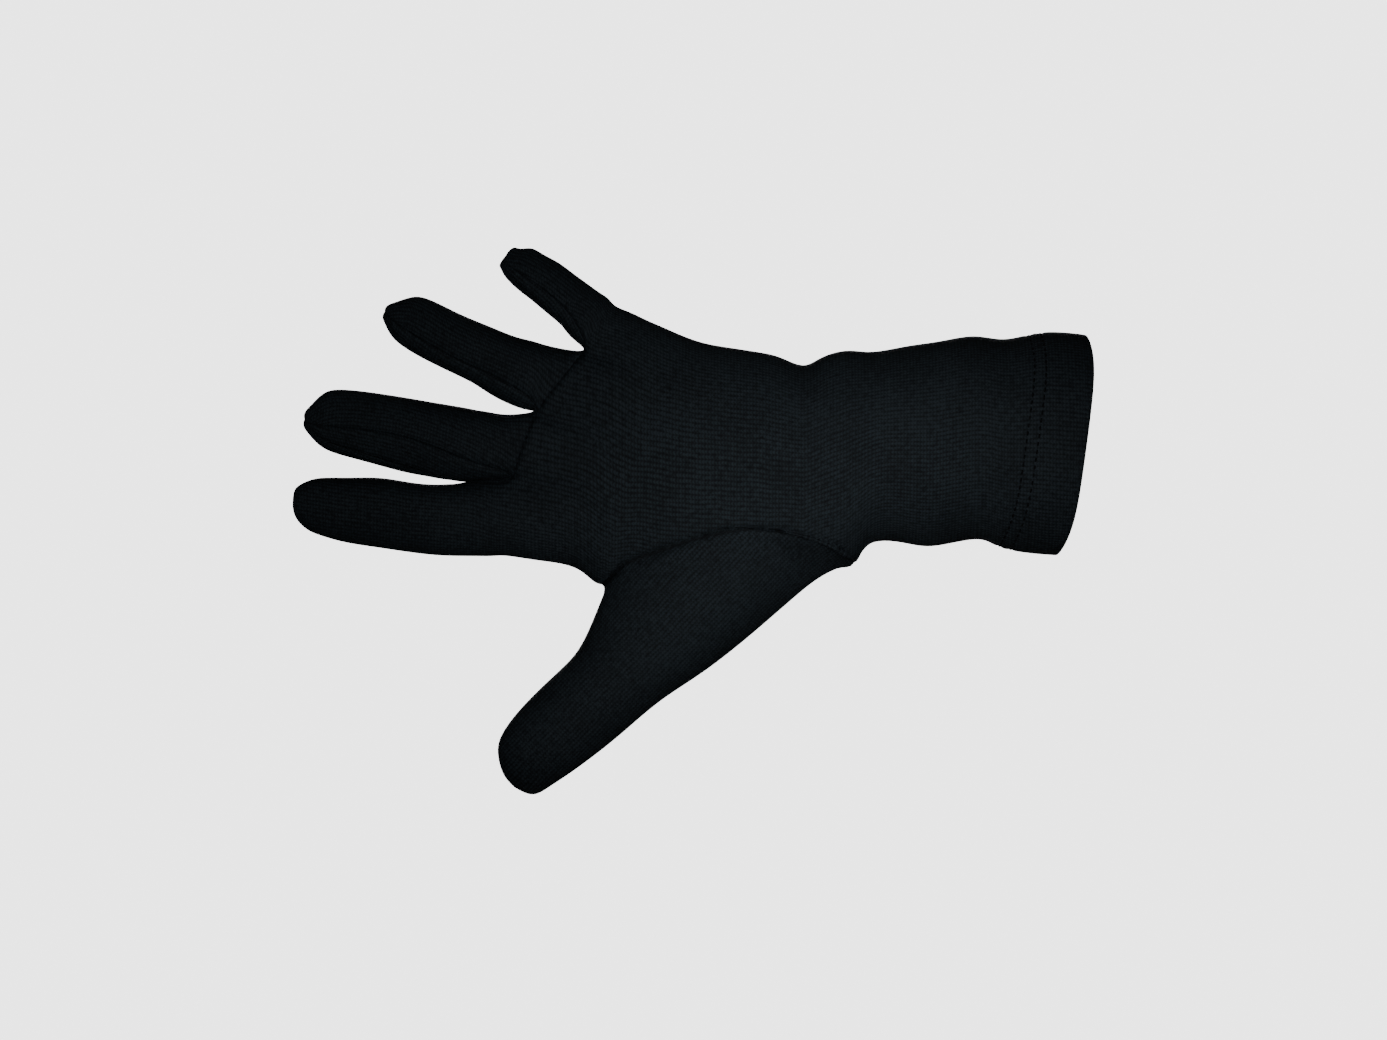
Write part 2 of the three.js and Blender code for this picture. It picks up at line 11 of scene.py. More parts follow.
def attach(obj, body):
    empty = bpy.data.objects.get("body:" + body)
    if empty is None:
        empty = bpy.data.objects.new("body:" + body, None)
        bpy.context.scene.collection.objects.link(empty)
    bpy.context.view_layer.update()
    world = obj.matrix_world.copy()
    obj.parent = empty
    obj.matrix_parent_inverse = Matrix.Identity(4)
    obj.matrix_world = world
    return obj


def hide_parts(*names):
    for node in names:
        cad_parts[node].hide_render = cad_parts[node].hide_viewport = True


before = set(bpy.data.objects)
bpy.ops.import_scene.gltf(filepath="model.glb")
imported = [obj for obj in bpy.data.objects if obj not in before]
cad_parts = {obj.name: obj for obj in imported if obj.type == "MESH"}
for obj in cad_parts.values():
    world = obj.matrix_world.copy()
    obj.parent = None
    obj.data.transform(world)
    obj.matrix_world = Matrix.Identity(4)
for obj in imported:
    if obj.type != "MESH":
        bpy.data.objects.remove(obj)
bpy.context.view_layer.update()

bl_info = {
    "name": "Knitted glove liner",
    "version": (1, 0, 0),
    "blender": (4, 5, 0),
    "location": "3D View > Sidebar > Glove",
    "description": "Makes a fine-knit glove liner for the left hand, panel by panel, and its stage",
    "category": "Object",
}

# The glove stands as its frame does: the wrist at the origin, the fingers along -X, the
# little finger side up and the palm towards -Y. Its tables are in millimetres.
MM = 0.001

# The cuff, from the wrist to its mouth, which is slanted, shorter on the thumb side, and
# bows out in its middle
CUFF_LENGTH = 74.8
CUFF_SLANT = 9.8
MOUTH_BOW = 3.1
MOUTH_FULLNESS = 5
HEM_WIDTH = 18
CUFF_WIDTH = 72.5
CUFF_DEPTH = 50

# The hand, from the wrist to the finger roots
WRIST_WIDTH = 64
WRIST_DEPTH = 41
PALM_LENGTH = 108
PALM_WIDTH = 82.5
PALM_DEPTH = 33

# The fingers: length, width, depth, rise above -X in degrees, lean of the tip to the palm,
# shift of the tip as a share of the width, and the number of strips of knit across
FINGERS = {
    "index": dict(length=71.4, width=22.8, depth=18, rise=3.7, curl=9, tip=0.06, strips=5),
    "middle": dict(length=72.7, width=24, depth=18.5, rise=6.3, curl=11, tip=0.02, strips=4),
    "ring": dict(length=62.2, width=19, depth=17, rise=21.8, curl=10, tip=0, strips=4),
    "little": dict(length=39.3, width=15.6, depth=15, rise=35.4, curl=6, tip=0.12, strips=5),
}
HAND_STRIPS = sum(finger["strips"] for finger in FINGERS.values())

# The thumb, from the middle of its opening to the tip: its fall below -X is in degrees, its
# lean to the palm is that of the tip, and its back has this share of the front's arch
THUMB_LENGTH = 98.5
THUMB_WIDTH = 30
THUMB_DEPTH = 23
THUMB_FALL = 45.5
THUMB_LEAN = 15
THUMB_TIP = dict(along=1.003, web=0.03)
THUMB_BACK_ARCH = 0.2

# How full the sections are: 2 is an ellipse and more is squarer
CUFF_FULLNESS = 2.15
PALM_FULLNESS = 2.5
FINGER_FULLNESS = 2.3


def table(names, sections):
    """A table of sections: the names of its columns, then a row for each section."""
    return [dict(zip(names.split(), section)) for section in sections]


# The hem's sections, from the mouth to the stitches, and the cuff's, on to the wrist
HEM_SECTIONS = table(
    "in_hem slant bow grow little_side thumb_side front back",
    [
        (0.00, 1.00, 1.0, 0.93, 0.515, 0.488, 0.500, 0.500),
        (0.12, 0.99, 1.0, 0.92, 0.526, 0.487, 0.505, 0.505),
        (0.52, 0.90, 0.9, 0.82, 0.542, 0.486, 0.510, 0.500),
        (1.00, 0.82, 0.7, 0.72, 0.544, 0.475, 0.500, 0.490),
    ],
)
CUFF_SECTIONS = table(
    "along slant bow grow little_side thumb_side front back",
    [
        (0.82, 0.32, 0.3, 0.60, 0.523, 0.456, 0.495, 0.510),
        (0.65, 0.00, 0.0, 0.49, 0.547, 0.436, 0.510, 0.500),
        (0.45, 0.16, 0.0, 0.33, 0.531, 0.479, 0.500, 0.515),
        (0.26, 0.00, 0.0, 0.19, 0.518, 0.475, 0.505, 0.500),
        (0.06, -0.04, 0.0, 0.05, 0.497, 0.480, 0.495, 0.480),
    ],
)

# The hand's sections, from the wrist to the fingers, past the opening for the thumb
HAND_SECTIONS = table(
    "little_along thumb_along grow little_side thumb_side front_reach back_reach front back bow even",
    [
        (0.043, 0.021, 0.31, 0.466, 0.534, 1.000, 1.00, 0.50, 0.47, 0.00, 0.00),
        (0.122, 0.079, 0.41, 0.424, 0.576, 0.880, 0.95, 0.50, 0.44, 0.00, 0.00),
        (0.180, 0.183, 0.47, 0.379, 0.621, 0.773, 0.92, 0.51, 0.43, 0.00, 0.05),
        (0.251, 0.306, 0.66, 0.398, 0.602, 0.745, 0.90, 0.52, 0.42, 0.00, 0.12),
        (0.321, 0.428, 0.75, 0.411, 0.589, 0.758, 0.89, 0.52, 0.42, 0.00, 0.20),
        (0.397, 0.550, 0.80, 0.423, 0.577, 0.803, 0.90, 0.51, 0.42, 0.00, 0.30),
        (0.471, 0.663, 0.86, 0.434, 0.566, 0.864, 0.92, 0.50, 0.42, 0.03, 0.40),
        (0.538, 0.746, 0.93, 0.455, 0.545, 0.927, 0.96, 0.48, 0.42, 0.08, 0.50),
        (0.602, 0.798, 1.00, 0.484, 0.548, 1.000, 1.00, 0.46, 0.41, 0.18, 0.60),
        (0.663, 0.868, 1.00, 0.519, 0.479, 1.000, 1.00, 0.43, 0.39, 0.42, 0.80),
        (0.709, 0.984, 1.00, 0.548, 0.448, 1.000, 1.00, 0.38, 0.35, 0.72, 0.92),
    ],
)

# The line of the finger roots, as shares of the palm's length and width
ROOT_LINE = {
    "little_side": (0.752, 0.572),
    "ring_fork": (0.849, 0.388),
    "middle_fork": (0.996, 0.148),
    "index_fork": (1.069, -0.116),
    "thumb_side": (1.082, -0.428),
}

# At its root a finger is this deep, as a share of its depth, and a strip has this half angle
ROOT_HEIGHT = 0.52
ROOT_WEDGE = 35

# The fingers' sections: half widths and depths as shares, the twist of the knit round the
# finger and half the angle of the strip at its side
FINGER_COLUMNS = "along up down front back turn wedge"
FINGER_SECTIONS = {
    "index": table(FINGER_COLUMNS, [
        (0.070, 0.548, 0.583, 0.53, 0.47, -6, 34),
        (0.160, 0.497, 0.601, 0.53, 0.48, -16, 31),
        (0.300, 0.410, 0.623, 0.52, 0.50, -22, 29),
        (0.450, 0.400, 0.605, 0.50, 0.50, -24, 28),
        (0.600, 0.443, 0.566, 0.48, 0.48, -24, 26),
        (0.740, 0.421, 0.526, 0.45, 0.44, -24, 23),
        (0.850, 0.404, 0.456, 0.40, 0.38, -24, 20),
        (0.920, 0.360, 0.382, 0.33, 0.31, -24, 17),
        (0.970, 0.276, 0.254, 0.24, 0.22, -24, 15),
        (0.992, 0.202, 0.114, 0.14, 0.13, -24, 14),
    ]),
    "middle": table(FINGER_COLUMNS, [
        (0.090, 0.392, 0.528, 0.52, 0.47, -12, 33),
        (0.180, 0.398, 0.566, 0.52, 0.48, -25, 31),
        (0.300, 0.421, 0.600, 0.51, 0.50, -39, 29),
        (0.450, 0.450, 0.567, 0.50, 0.50, -52, 28),
        (0.600, 0.475, 0.517, 0.48, 0.48, -60, 26),
        (0.740, 0.488, 0.450, 0.44, 0.44, -64, 23),
        (0.850, 0.475, 0.392, 0.39, 0.38, -66, 20),
        (0.920, 0.404, 0.304, 0.31, 0.31, -66, 17),
        (0.970, 0.225, 0.167, 0.21, 0.21, -66, 15),
        (0.992, 0.125, 0.083, 0.13, 0.12, -66, 14),
    ]),
    "ring": table(FINGER_COLUMNS, [
        (0.120, 0.510, 0.680, 0.53, 0.49, -18, 33),
        (0.210, 0.485, 0.680, 0.52, 0.49, -26, 31),
        (0.320, 0.442, 0.645, 0.51, 0.50, -30, 29),
        (0.450, 0.442, 0.574, 0.50, 0.50, -30, 28),
        (0.600, 0.442, 0.537, 0.48, 0.48, -33, 26),
        (0.740, 0.474, 0.495, 0.44, 0.44, -42, 23),
        (0.850, 0.468, 0.432, 0.39, 0.38, -50, 20),
        (0.920, 0.332, 0.332, 0.30, 0.30, -56, 17),
        (0.970, 0.184, 0.184, 0.20, 0.20, -58, 15),
        (0.992, 0.105, 0.105, 0.12, 0.12, -58, 14),
    ]),
    "little": table(FINGER_COLUMNS, [
        (0.090, 0.628, 0.520, 0.54, 0.50, -16, 34),
        (0.190, 0.622, 0.474, 0.53, 0.50, -36, 31),
        (0.310, 0.622, 0.402, 0.51, 0.50, -50, 29),
        (0.450, 0.622, 0.378, 0.50, 0.50, -58, 28),
        (0.600, 0.628, 0.346, 0.48, 0.48, -62, 26),
        (0.740, 0.583, 0.333, 0.45, 0.44, -64, 23),
        (0.850, 0.551, 0.295, 0.40, 0.38, -66, 20),
        (0.920, 0.417, 0.244, 0.32, 0.31, -66, 17),
        (0.970, 0.368, 0.167, 0.23, 0.22, -66, 15),
        (0.992, 0.295, 0.115, 0.15, 0.14, -66, 14),
    ]),
}

# From the root to this share of a finger, its back takes up the twist of its front
TURN_START = 0.45

# The seams on the outer sides of the little and index fingers lie at this angle
SIDE_SEAM = 92

# A finger bends to the palm with this power of the place along it
CURL_POWER = 1.5

# The thumb's sections, from its opening to the tip
THUMB_SECTIONS = table(
    "web_along web outer_along outer arch front back lean",
    [
        (0.356, 0.781, -0.216, 0.753, 0.36, 0.70, 0.52, 0.00),
        (0.398, 0.736, -0.081, 0.695, 0.27, 0.71, 0.53, 0.06),
        (0.460, 0.660, 0.104, 0.642, 0.18, 0.68, 0.54, 0.16),
        (0.541, 0.585, 0.293, 0.559, 0.10, 0.62, 0.53, 0.30),
        (0.624, 0.579, 0.459, 0.445, 0.05, 0.56, 0.51, 0.46),
        (0.712, 0.590, 0.620, 0.393, 0.02, 0.53, 0.49, 0.62),
        (0.818, 0.586, 0.747, 0.342, 0.00, 0.50, 0.46, 0.78),
        (0.904, 0.541, 0.849, 0.285, 0.00, 0.44, 0.41, 0.91),
        (0.956, 0.444, 0.925, 0.230, 0.00, 0.33, 0.31, 0.98),
        (0.994, 0.255, 0.975, 0.170, 0.00, 0.18, 0.17, 1.00),
    ],
)

# The panels, in the order of the numbers that their faces carry
PANELS = [
    "palm", "back", "middle_finger_front", "ring_finger_front", "fourchette_index_middle",
    "fourchette_middle_ring", "fourchette_ring_little", "thumb",
]

# How wide a strip of knit is before it is stretched over the hand
STRIP = 5.2

# From the root to this share of a finger, its knit eases from the palm's places into its own
EASE_IN = 0.3


def lerp(start, end, share):
    return start + (end - start) * share


def section_height(across, fullness):
    """The height of a full section, 1 in its middle, at a place from -1 to 1 across it."""
    return (1 - min(abs(across), 1) ** fullness) ** (1 / fullness)


def section_point(angle):
    """The place across a full section and its height, at an angle from its front."""
    across, height = math.sin(angle), math.cos(angle)
    power = 2 / FINGER_FULLNESS
    return math.copysign(abs(across) ** power, across), math.copysign(abs(height) ** power, height)


def spread(start, end, strips):
    return [lerp(start, end, k / strips) for k in range(strips + 1)]


class Net:
    """The outer face of the knit as a coarse net, in millimetres. Each face has the number of
    its panel, its corners, each with the knit's own place there, across and along its wales,
    and whether the hem is turned in under it."""

    def __init__(self):
        self.points = []
        self.faces = []

    def add(self, place):
        self.points.append(np.array(place, float))
        return len(self.points) - 1

    def join(self, panel, row_a, row_b, in_hem=False):
        """A row of faces between two rows of (point, place in the knit)."""
        for k in range(len(row_a) - 1):
            corners = [row_a[k], row_b[k], row_b[k + 1], row_a[k + 1]]
            kept = [c for n, c in enumerate(corners) if c[0] != corners[(n + 1) % 4][0]]
            self.faces.append((PANELS.index(panel), kept, in_hem))

    def arcs(self, row):
        """How far each point of a row lies across, measured along it from its middle."""
        steps = [np.linalg.norm(self.points[b] - self.points[a]) for a, b in zip(row, row[1:])]
        reach = np.concatenate([[0], np.cumsum(steps)])
        return reach - reach[-1] / 2


def root_place(name):
    """Where an end or a fork of the line of the finger roots lies."""
    along, out = ROOT_LINE[name]
    return np.array([-along * PALM_LENGTH, 0, out * PALM_WIDTH])


ROOT_SPANS = [
    ("little", "little_side", "ring_fork"),
    ("ring", "ring_fork", "middle_fork"),
    ("middle", "middle_fork", "index_fork"),
    ("index", "index_fork", "thumb_side"),
]
FRONT_PANELS = {
    "index": "palm", "middle": "middle_finger_front",
    "ring": "ring_finger_front", "little": "palm",
}
FORK_PANELS = {
    "ring_fork": "fourchette_ring_little",
    "middle_fork": "fourchette_middle_ring",
    "index_fork": "fourchette_index_middle",
}


def seam_angles(name, along, turn, wedge):
    """The angles at which a finger's front and back panels start and end."""
    quarter = math.pi / 2
    front_turn = math.radians(turn)
    back_turn = front_turn * min(along / TURN_START, 1)
    side, wedge = math.radians(SIDE_SEAM), math.radians(wedge)
    up = -side if name == "little" else front_turn - quarter + wedge
    down = side if name == "index" else front_turn + quarter - wedge
    back_down = side if name == "index" else back_turn + quarter + wedge
    back_up = (-side if name == "little" else back_turn - quarter - wedge) + 4 * quarter
    return up, down, back_down, back_up


def root_row(span, side):
    """The places along one finger's root, on the palm side (-1) or the back (1)."""
    name, start_at, end_at = span
    finger = FINGERS[name]
    up, down, back_down, back_up = seam_angles(name, 0, 0, ROOT_WEDGE)
    ends = (up, down) if side < 0 else (back_up, back_down)
    places = [section_point(angle) for angle in spread(*ends, finger["strips"])]
    start, reach = places[0][0], places[-1][0] - places[0][0]
    row = []
    for across, height in places:
        place = lerp(root_place(start_at), root_place(end_at), (across - start) / reach)
        place[1] = -height * ROOT_HEIGHT * finger["depth"]
        row.append(place)
    return row


def whole_root_row(side):
    """The whole root row, in which two neighbouring fingers share the place at their fork."""
    whole = []
    for span in ROOT_SPANS:
        row = root_row(span, side)
        if whole:
            row[0][1] = (row[0][1] + whole.pop()[1]) / 2
        whole += row
    return whole


ROOT_ROWS = {-1: whole_root_row(-1), 1: whole_root_row(1)}
ROOT_START = root_place("little_side")
ROOT_CHORD = root_place("thumb_side") - ROOT_START


def chord_share(place):
    """How far along the chord of the finger roots a place lies, from 0 to 1."""
    reach = (place - ROOT_START) * [1, 0, 1]
    return reach @ ROOT_CHORD / (ROOT_CHORD @ ROOT_CHORD)


def strip_place(k, even, roots):
    """Where a strip's edge lies across a section, in step with the fingers as even is 1."""
    bunched = (1 - math.cos(math.pi * k / HAND_STRIPS)) / 2
    return lerp(bunched, chord_share(roots[k]), even)


def across_knit(place):
    """How far across the knit a place from 0 to 1 across the hand lies, from its middle."""
    return HAND_STRIPS * STRIP * (math.acos(1 - 2 * min(max(place, 0), 1)) / math.pi - 0.5)


def cuff_row(section, side):
    """A row across the cuff on the palm side (-1) or the back (1): places and knit."""
    width = lerp(WRIST_WIDTH, CUFF_WIDTH, section["grow"])
    depth = lerp(WRIST_DEPTH, CUFF_DEPTH, section["grow"]) * section["front" if side < 0 else "back"]
    if "in_hem" in section:
        along = CUFF_LENGTH - HEM_WIDTH * section["in_hem"]
    else:
        along = section["along"] * (CUFF_LENGTH - HEM_WIDTH)
    row = []
    for k in range(HAND_STRIPS + 1):
        place = strip_place(k, 0, ROOT_ROWS[-1])
        across = 2 * place - 1
        bow = MOUTH_BOW * section["bow"] * (1 - abs(across) ** MOUTH_FULLNESS)
        x = along - CUFF_SLANT * section["slant"] * place + bow
        y = side * depth * section_height(across, CUFF_FULLNESS)
        z = lerp(width * section["little_side"], -width * section["thumb_side"], place)
        row.append((np.array([x, y, z]), across_knit(place)))
    return row


def hand_row(section, side):
    """A row across the hand, which takes on the line of the finger roots as it bows."""
    width = lerp(WRIST_WIDTH, PALM_WIDTH, section["grow"])
    depth = lerp(WRIST_DEPTH, PALM_DEPTH, section["grow"]) * section["front" if side < 0 else "back"]
    reach = section["front_reach" if side < 0 else "back_reach"]
    fullness = lerp(CUFF_FULLNESS, PALM_FULLNESS, section["grow"])
    start = np.array([-section["little_along"] * PALM_LENGTH, 0, width * section["little_side"]])
    end = np.array([-section["thumb_along"] * PALM_LENGTH, 0, -width * section["thumb_side"]])
    row = []
    for k, root in enumerate(ROOT_ROWS[side]):
        place = strip_place(k, section["even"], ROOT_ROWS[side]) * reach
        spot = lerp(start, end, place)
        on_chord = ROOT_START + ROOT_CHORD * chord_share(root)
        spot += (root - on_chord) * [1, 0, 1] * section["bow"]
        smooth = side * depth * section_height(2 * place - 1, fullness)
        spot[1] = lerp(smooth, root[1], section["bow"] ** 2)
        row.append((spot, across_knit(place)))
    return row


def add_hand(net):
    """The cuff and the hand. The front and back of a row share their ends on the two side
    seams, except beside the opening for the thumb."""
    rows = []
    root_rows = [
        [(place, across_knit(chord_share(place))) for place in ROOT_ROWS[side]] for side in (-1, 1)
    ]
    sections = [(cuff_row(s, -1), cuff_row(s, 1), False) for s in HEM_SECTIONS + CUFF_SECTIONS]
    sections += [(hand_row(s, -1), hand_row(s, 1), s["front_reach"] < 1) for s in HAND_SECTIONS]
    sections.append((*root_rows, False))
    for front, back, is_open in sections:
        front_row = [(net.add(place), (across, -place[0])) for place, across in front]
        back_row = []
        for k, (place, across) in enumerate(back):
            is_shared = k == 0 or (k == HAND_STRIPS and not is_open)
            point = front_row[k][0] if is_shared else net.add(place)
            back_row.append((point, (across, -place[0])))
        rows.append((front_row, back_row))
    for k in range(len(rows) - 1):
        in_hem = k + 1 < len(HEM_SECTIONS)
        net.join("palm", rows[k][0], rows[k + 1][0], in_hem)
        net.join("back", rows[k + 1][1], rows[k][1], in_hem)
    return rows


def ring_parts(span, front, down_middle, back, up_middle):
    """The four parts of a ring round a finger, each with its panel: the front, the back and
    the sides towards the thumb and the little finger where a strip is sewn in."""
    name, start_at, end_at = span
    parts = [(FRONT_PANELS[name], front), ("back", back)]
    if down_middle is not None:
        parts.append((FORK_PANELS[end_at], [front[-1], down_middle, back[0]]))
    if up_middle is not None:
        parts.append((FORK_PANELS[start_at], [back[-1], up_middle, front[0]]))
    return parts


def add_finger(net, span, first_strip, roots, forks):
    """A finger, ring by ring from its root to its tip, with the strips sewn in beside it."""
    name, start_at, end_at = span
    finger = FINGERS[name]
    strips = finger["strips"]
    rise = math.radians(finger["rise"])
    axis = np.array([-math.cos(rise), 0, math.sin(rise)])
    down_way = np.array([-math.sin(rise), 0, -math.cos(rise)])
    root = lerp(root_place(start_at), root_place(end_at), 0.5)
    has_up, has_down = start_at in forks, end_at in forks

    def place_at(along, across):
        place = root + axis * along * finger["length"] + down_way * across * finger["width"]
        place[1] = -finger["curl"] * along ** CURL_POWER
        return place

    front_roots = roots[0][first_strip:first_strip + strips + 1]
    back_roots = roots[1][first_strip:first_strip + strips + 1][::-1]
    above = ring_parts(
        span, [p for p, knit in front_roots], forks.get(end_at),
        [p for p, knit in back_roots], forks.get(start_at),
    )
    knits = [[knit for p, knit in front_roots], [knit for p, knit in back_roots]]
    knits += [[(across, 0) for across in net.arcs(ring)] for panel, ring in above[2:]]
    first_knits = knits

    for section in FINGER_SECTIONS[name]:
        up, down, back_down, back_up = seam_angles(
            name, section["along"], section["turn"], section["wedge"])

        def point_at(angle):
            across, height = section_point(angle)
            place = place_at(section["along"], across * section["up" if across < 0 else "down"])
            place[1] -= height * finger["depth"] * section["front" if height > 0 else "back"]
            return net.add(place)

        front = [point_at(angle) for angle in spread(up, down, strips)]
        back = []
        for k, angle in enumerate(spread(back_down, back_up, strips)):
            if k == 0 and not has_down:
                back.append(front[-1])
            elif k == strips and not has_up:
                back.append(front[0])
            else:
                back.append(point_at(angle))
        down_middle = point_at((down + back_down) / 2) if has_down else None
        up_middle = point_at((up + back_up) / 2 - math.pi) if has_up else None
        below = ring_parts(span, front, down_middle, back, up_middle)
        ease = min(section["along"] / EASE_IN, 1)
        below_knits = []
        for (panel, ring), (same, above_ring), first, last in zip(below, above, first_knits, knits):
            middle = (first[0][0] + first[-1][0]) / 2
            way = 1 if first[-1][0] > first[0][0] else -1
            knit = []
            for k, arc in enumerate(net.arcs(ring)):
                step = np.linalg.norm(net.points[ring[k]] - net.points[above_ring[k]])
                knit.append((lerp(first[k][0], middle + way * arc, ease), last[k][1] + step))
            below_knits.append(knit)
        join_rings(net, above, knits, below, below_knits)
        above, knits = below, below_knits

    tip = net.add(place_at(1, -finger["tip"]))
    tips = [(panel, [tip] * len(ring)) for panel, ring in above]
    tip_knits = [[((knit[0][0] + knit[-1][0]) / 2, knit[0][1] + 1)] * len(knit) for knit in knits]
    join_rings(net, above, knits, tips, tip_knits)


def join_rings(net, above, knits, below, below_knits):
    for (panel, ring), knit, (same, below_ring), below_knit in zip(above, knits, below, below_knits):
        net.join(panel, list(zip(ring, knit)), list(zip(below_ring, below_knit)))


def add_thumb(net, rows):
    """The thumb, from its opening beside the palm to its tip. Its wales run along its axis."""
    wrist_row = len(HEM_SECTIONS) + len(CUFF_SECTIONS)
    open_count = sum(section["front_reach"] < 1 for section in HAND_SECTIONS)
    open_rows = rows[wrist_row:wrist_row + open_count + 2][::-1]
    strips = len(open_rows) - 1
    front_above = [front[-1][0] for front, back in open_rows]
    back_above = [back[-1][0] for front, back in open_rows][::-1]
    root = (net.points[front_above[0]] + net.points[back_above[0]]) / 2
    fall, lean = math.radians(THUMB_FALL), -THUMB_LEAN
    axis = np.array([-math.cos(fall), 0, -math.sin(fall)])
    out_way = np.array([math.sin(fall), 0, -math.cos(fall)])

    def thumb_place(along, out, leaning):
        place = root + axis * along * THUMB_LENGTH + out_way * out * THUMB_WIDTH
        place[1] = lean * leaning
        return place

    def knit_places(row):
        """The knit of a row laid flat, outwards from its middle."""
        middle = len(row) // 2
        start = net.points[row[middle]] - root
        knit = {middle: (start @ out_way, start @ axis)}
        for steps in (range(middle + 1, len(row)), range(middle - 1, -1, -1)):
            for k in steps:
                last = k - 1 if k > middle else k + 1
                step = net.points[row[k]] - net.points[row[last]]
                wide = math.copysign(math.hypot(step @ out_way, step[1]), step @ out_way)
                knit[k] = (knit[last][0] + wide, knit[last][1] + step @ axis)
        return [knit[k] for k in range(len(row))]

    def join(above, below):
        net.join("thumb", list(zip(above, knit_places(above))), list(zip(below, knit_places(below))))

    for section in THUMB_SECTIONS:
        web = thumb_place(section["web_along"], -section["web"], section["lean"])
        outer = thumb_place(section["outer_along"], section["outer"], section["lean"])
        chord = (outer - web) / np.linalg.norm(outer - web)
        towards_hand = np.array([-chord[2], 0, chord[0]])

        def point_at(angle, side):
            across, height = section_point(angle)
            arch = section["arch"] * (1 if side < 0 else THUMB_BACK_ARCH)
            place = lerp(web, outer, (1 + across) / 2) + towards_hand * arch * THUMB_WIDTH * height
            place[1] += side * height * THUMB_DEPTH * section["front" if side < 0 else "back"]
            return net.add(place)

        angles = spread(-math.pi / 2, math.pi / 2, strips)
        front = [point_at(angle, -1) for angle in angles]
        back_middle = [point_at(angle, 1) for angle in angles[-2:0:-1]]
        back = [front[-1], *back_middle, front[0]]
        join(front_above, front)
        join(back_above, back)
        front_above, back_above = front, back
    end = net.add(thumb_place(THUMB_TIP["along"], -THUMB_TIP["web"], 1))
    join(front_above, [end] * len(front_above))
    join(back_above, [end] * len(back_above))


def glove_net():
    net = Net()
    rows = add_hand(net)
    forks = {name: net.add(root_place(name)) for name in FORK_PANELS}
    first_strip = 0
    for span in ROOT_SPANS:
        add_finger(net, span, first_strip, rows[-1], forks)
        first_strip += FINGERS[span[0]]["strips"]
    add_thumb(net, rows)
    return net


# Each subdivision cuts a face of the net in four, and each round fits the smooth surface
# closer to the net's points
SUBDIVISIONS = 3
FITTING_ROUNDS = 3

# The end of the thumb's seam stands out as a small corner, and the wrist is drawn in beside
# it: where, how far out and how wide, in millimetres
SEAM_END = [((-4.0, 0, -38.0), 1.0, 2.6), ((1.8, 0, -33.5), -1.5, 3.2)]

# Distances are measured to this many points along each edge
EDGE_POINTS = 6

# A point that is nearer to the mouth than this lies on it
AT_MOUTH = 0.01 * MM

# The finger seams are pressed flatter than the thumb's, as if they lay this far off
FLAT_SEAM = 0.45 * MM


def linked(name, data):
    """A new object with its data, put into the scene."""
    new = bpy.data.objects.new(name, data)
    bpy.context.scene.collection.objects.link(new)
    return new


def bell(distance, width):
    """1 where the distance is 0, falling off smoothly over the width."""
    return np.exp(-(distance / width) ** 2)


def subdivided(mesh):
    """The mesh of a net made smooth, with its places in the knit and its panels kept."""
    net_object = linked("net", mesh)
    smooth = net_object.modifiers.new("smooth", "SUBSURF")
    smooth.levels = smooth.render_levels = SUBDIVISIONS
    smooth.uv_smooth = "NONE"
    smooth.boundary_smooth = "PRESERVE_CORNERS"
    graph = bpy.context.evaluated_depsgraph_get()
    fine = bpy.data.meshes.new_from_object(net_object.evaluated_get(graph))
    bpy.data.objects.remove(net_object)
    return fine


def read(data, name, kind, width):
    """One property of all points, corners or faces, with so many numbers for each."""
    values = np.zeros(len(data) * width, kind)
    data.foreach_get(name, values)
    return values.reshape(-1, width) if width > 1 else values


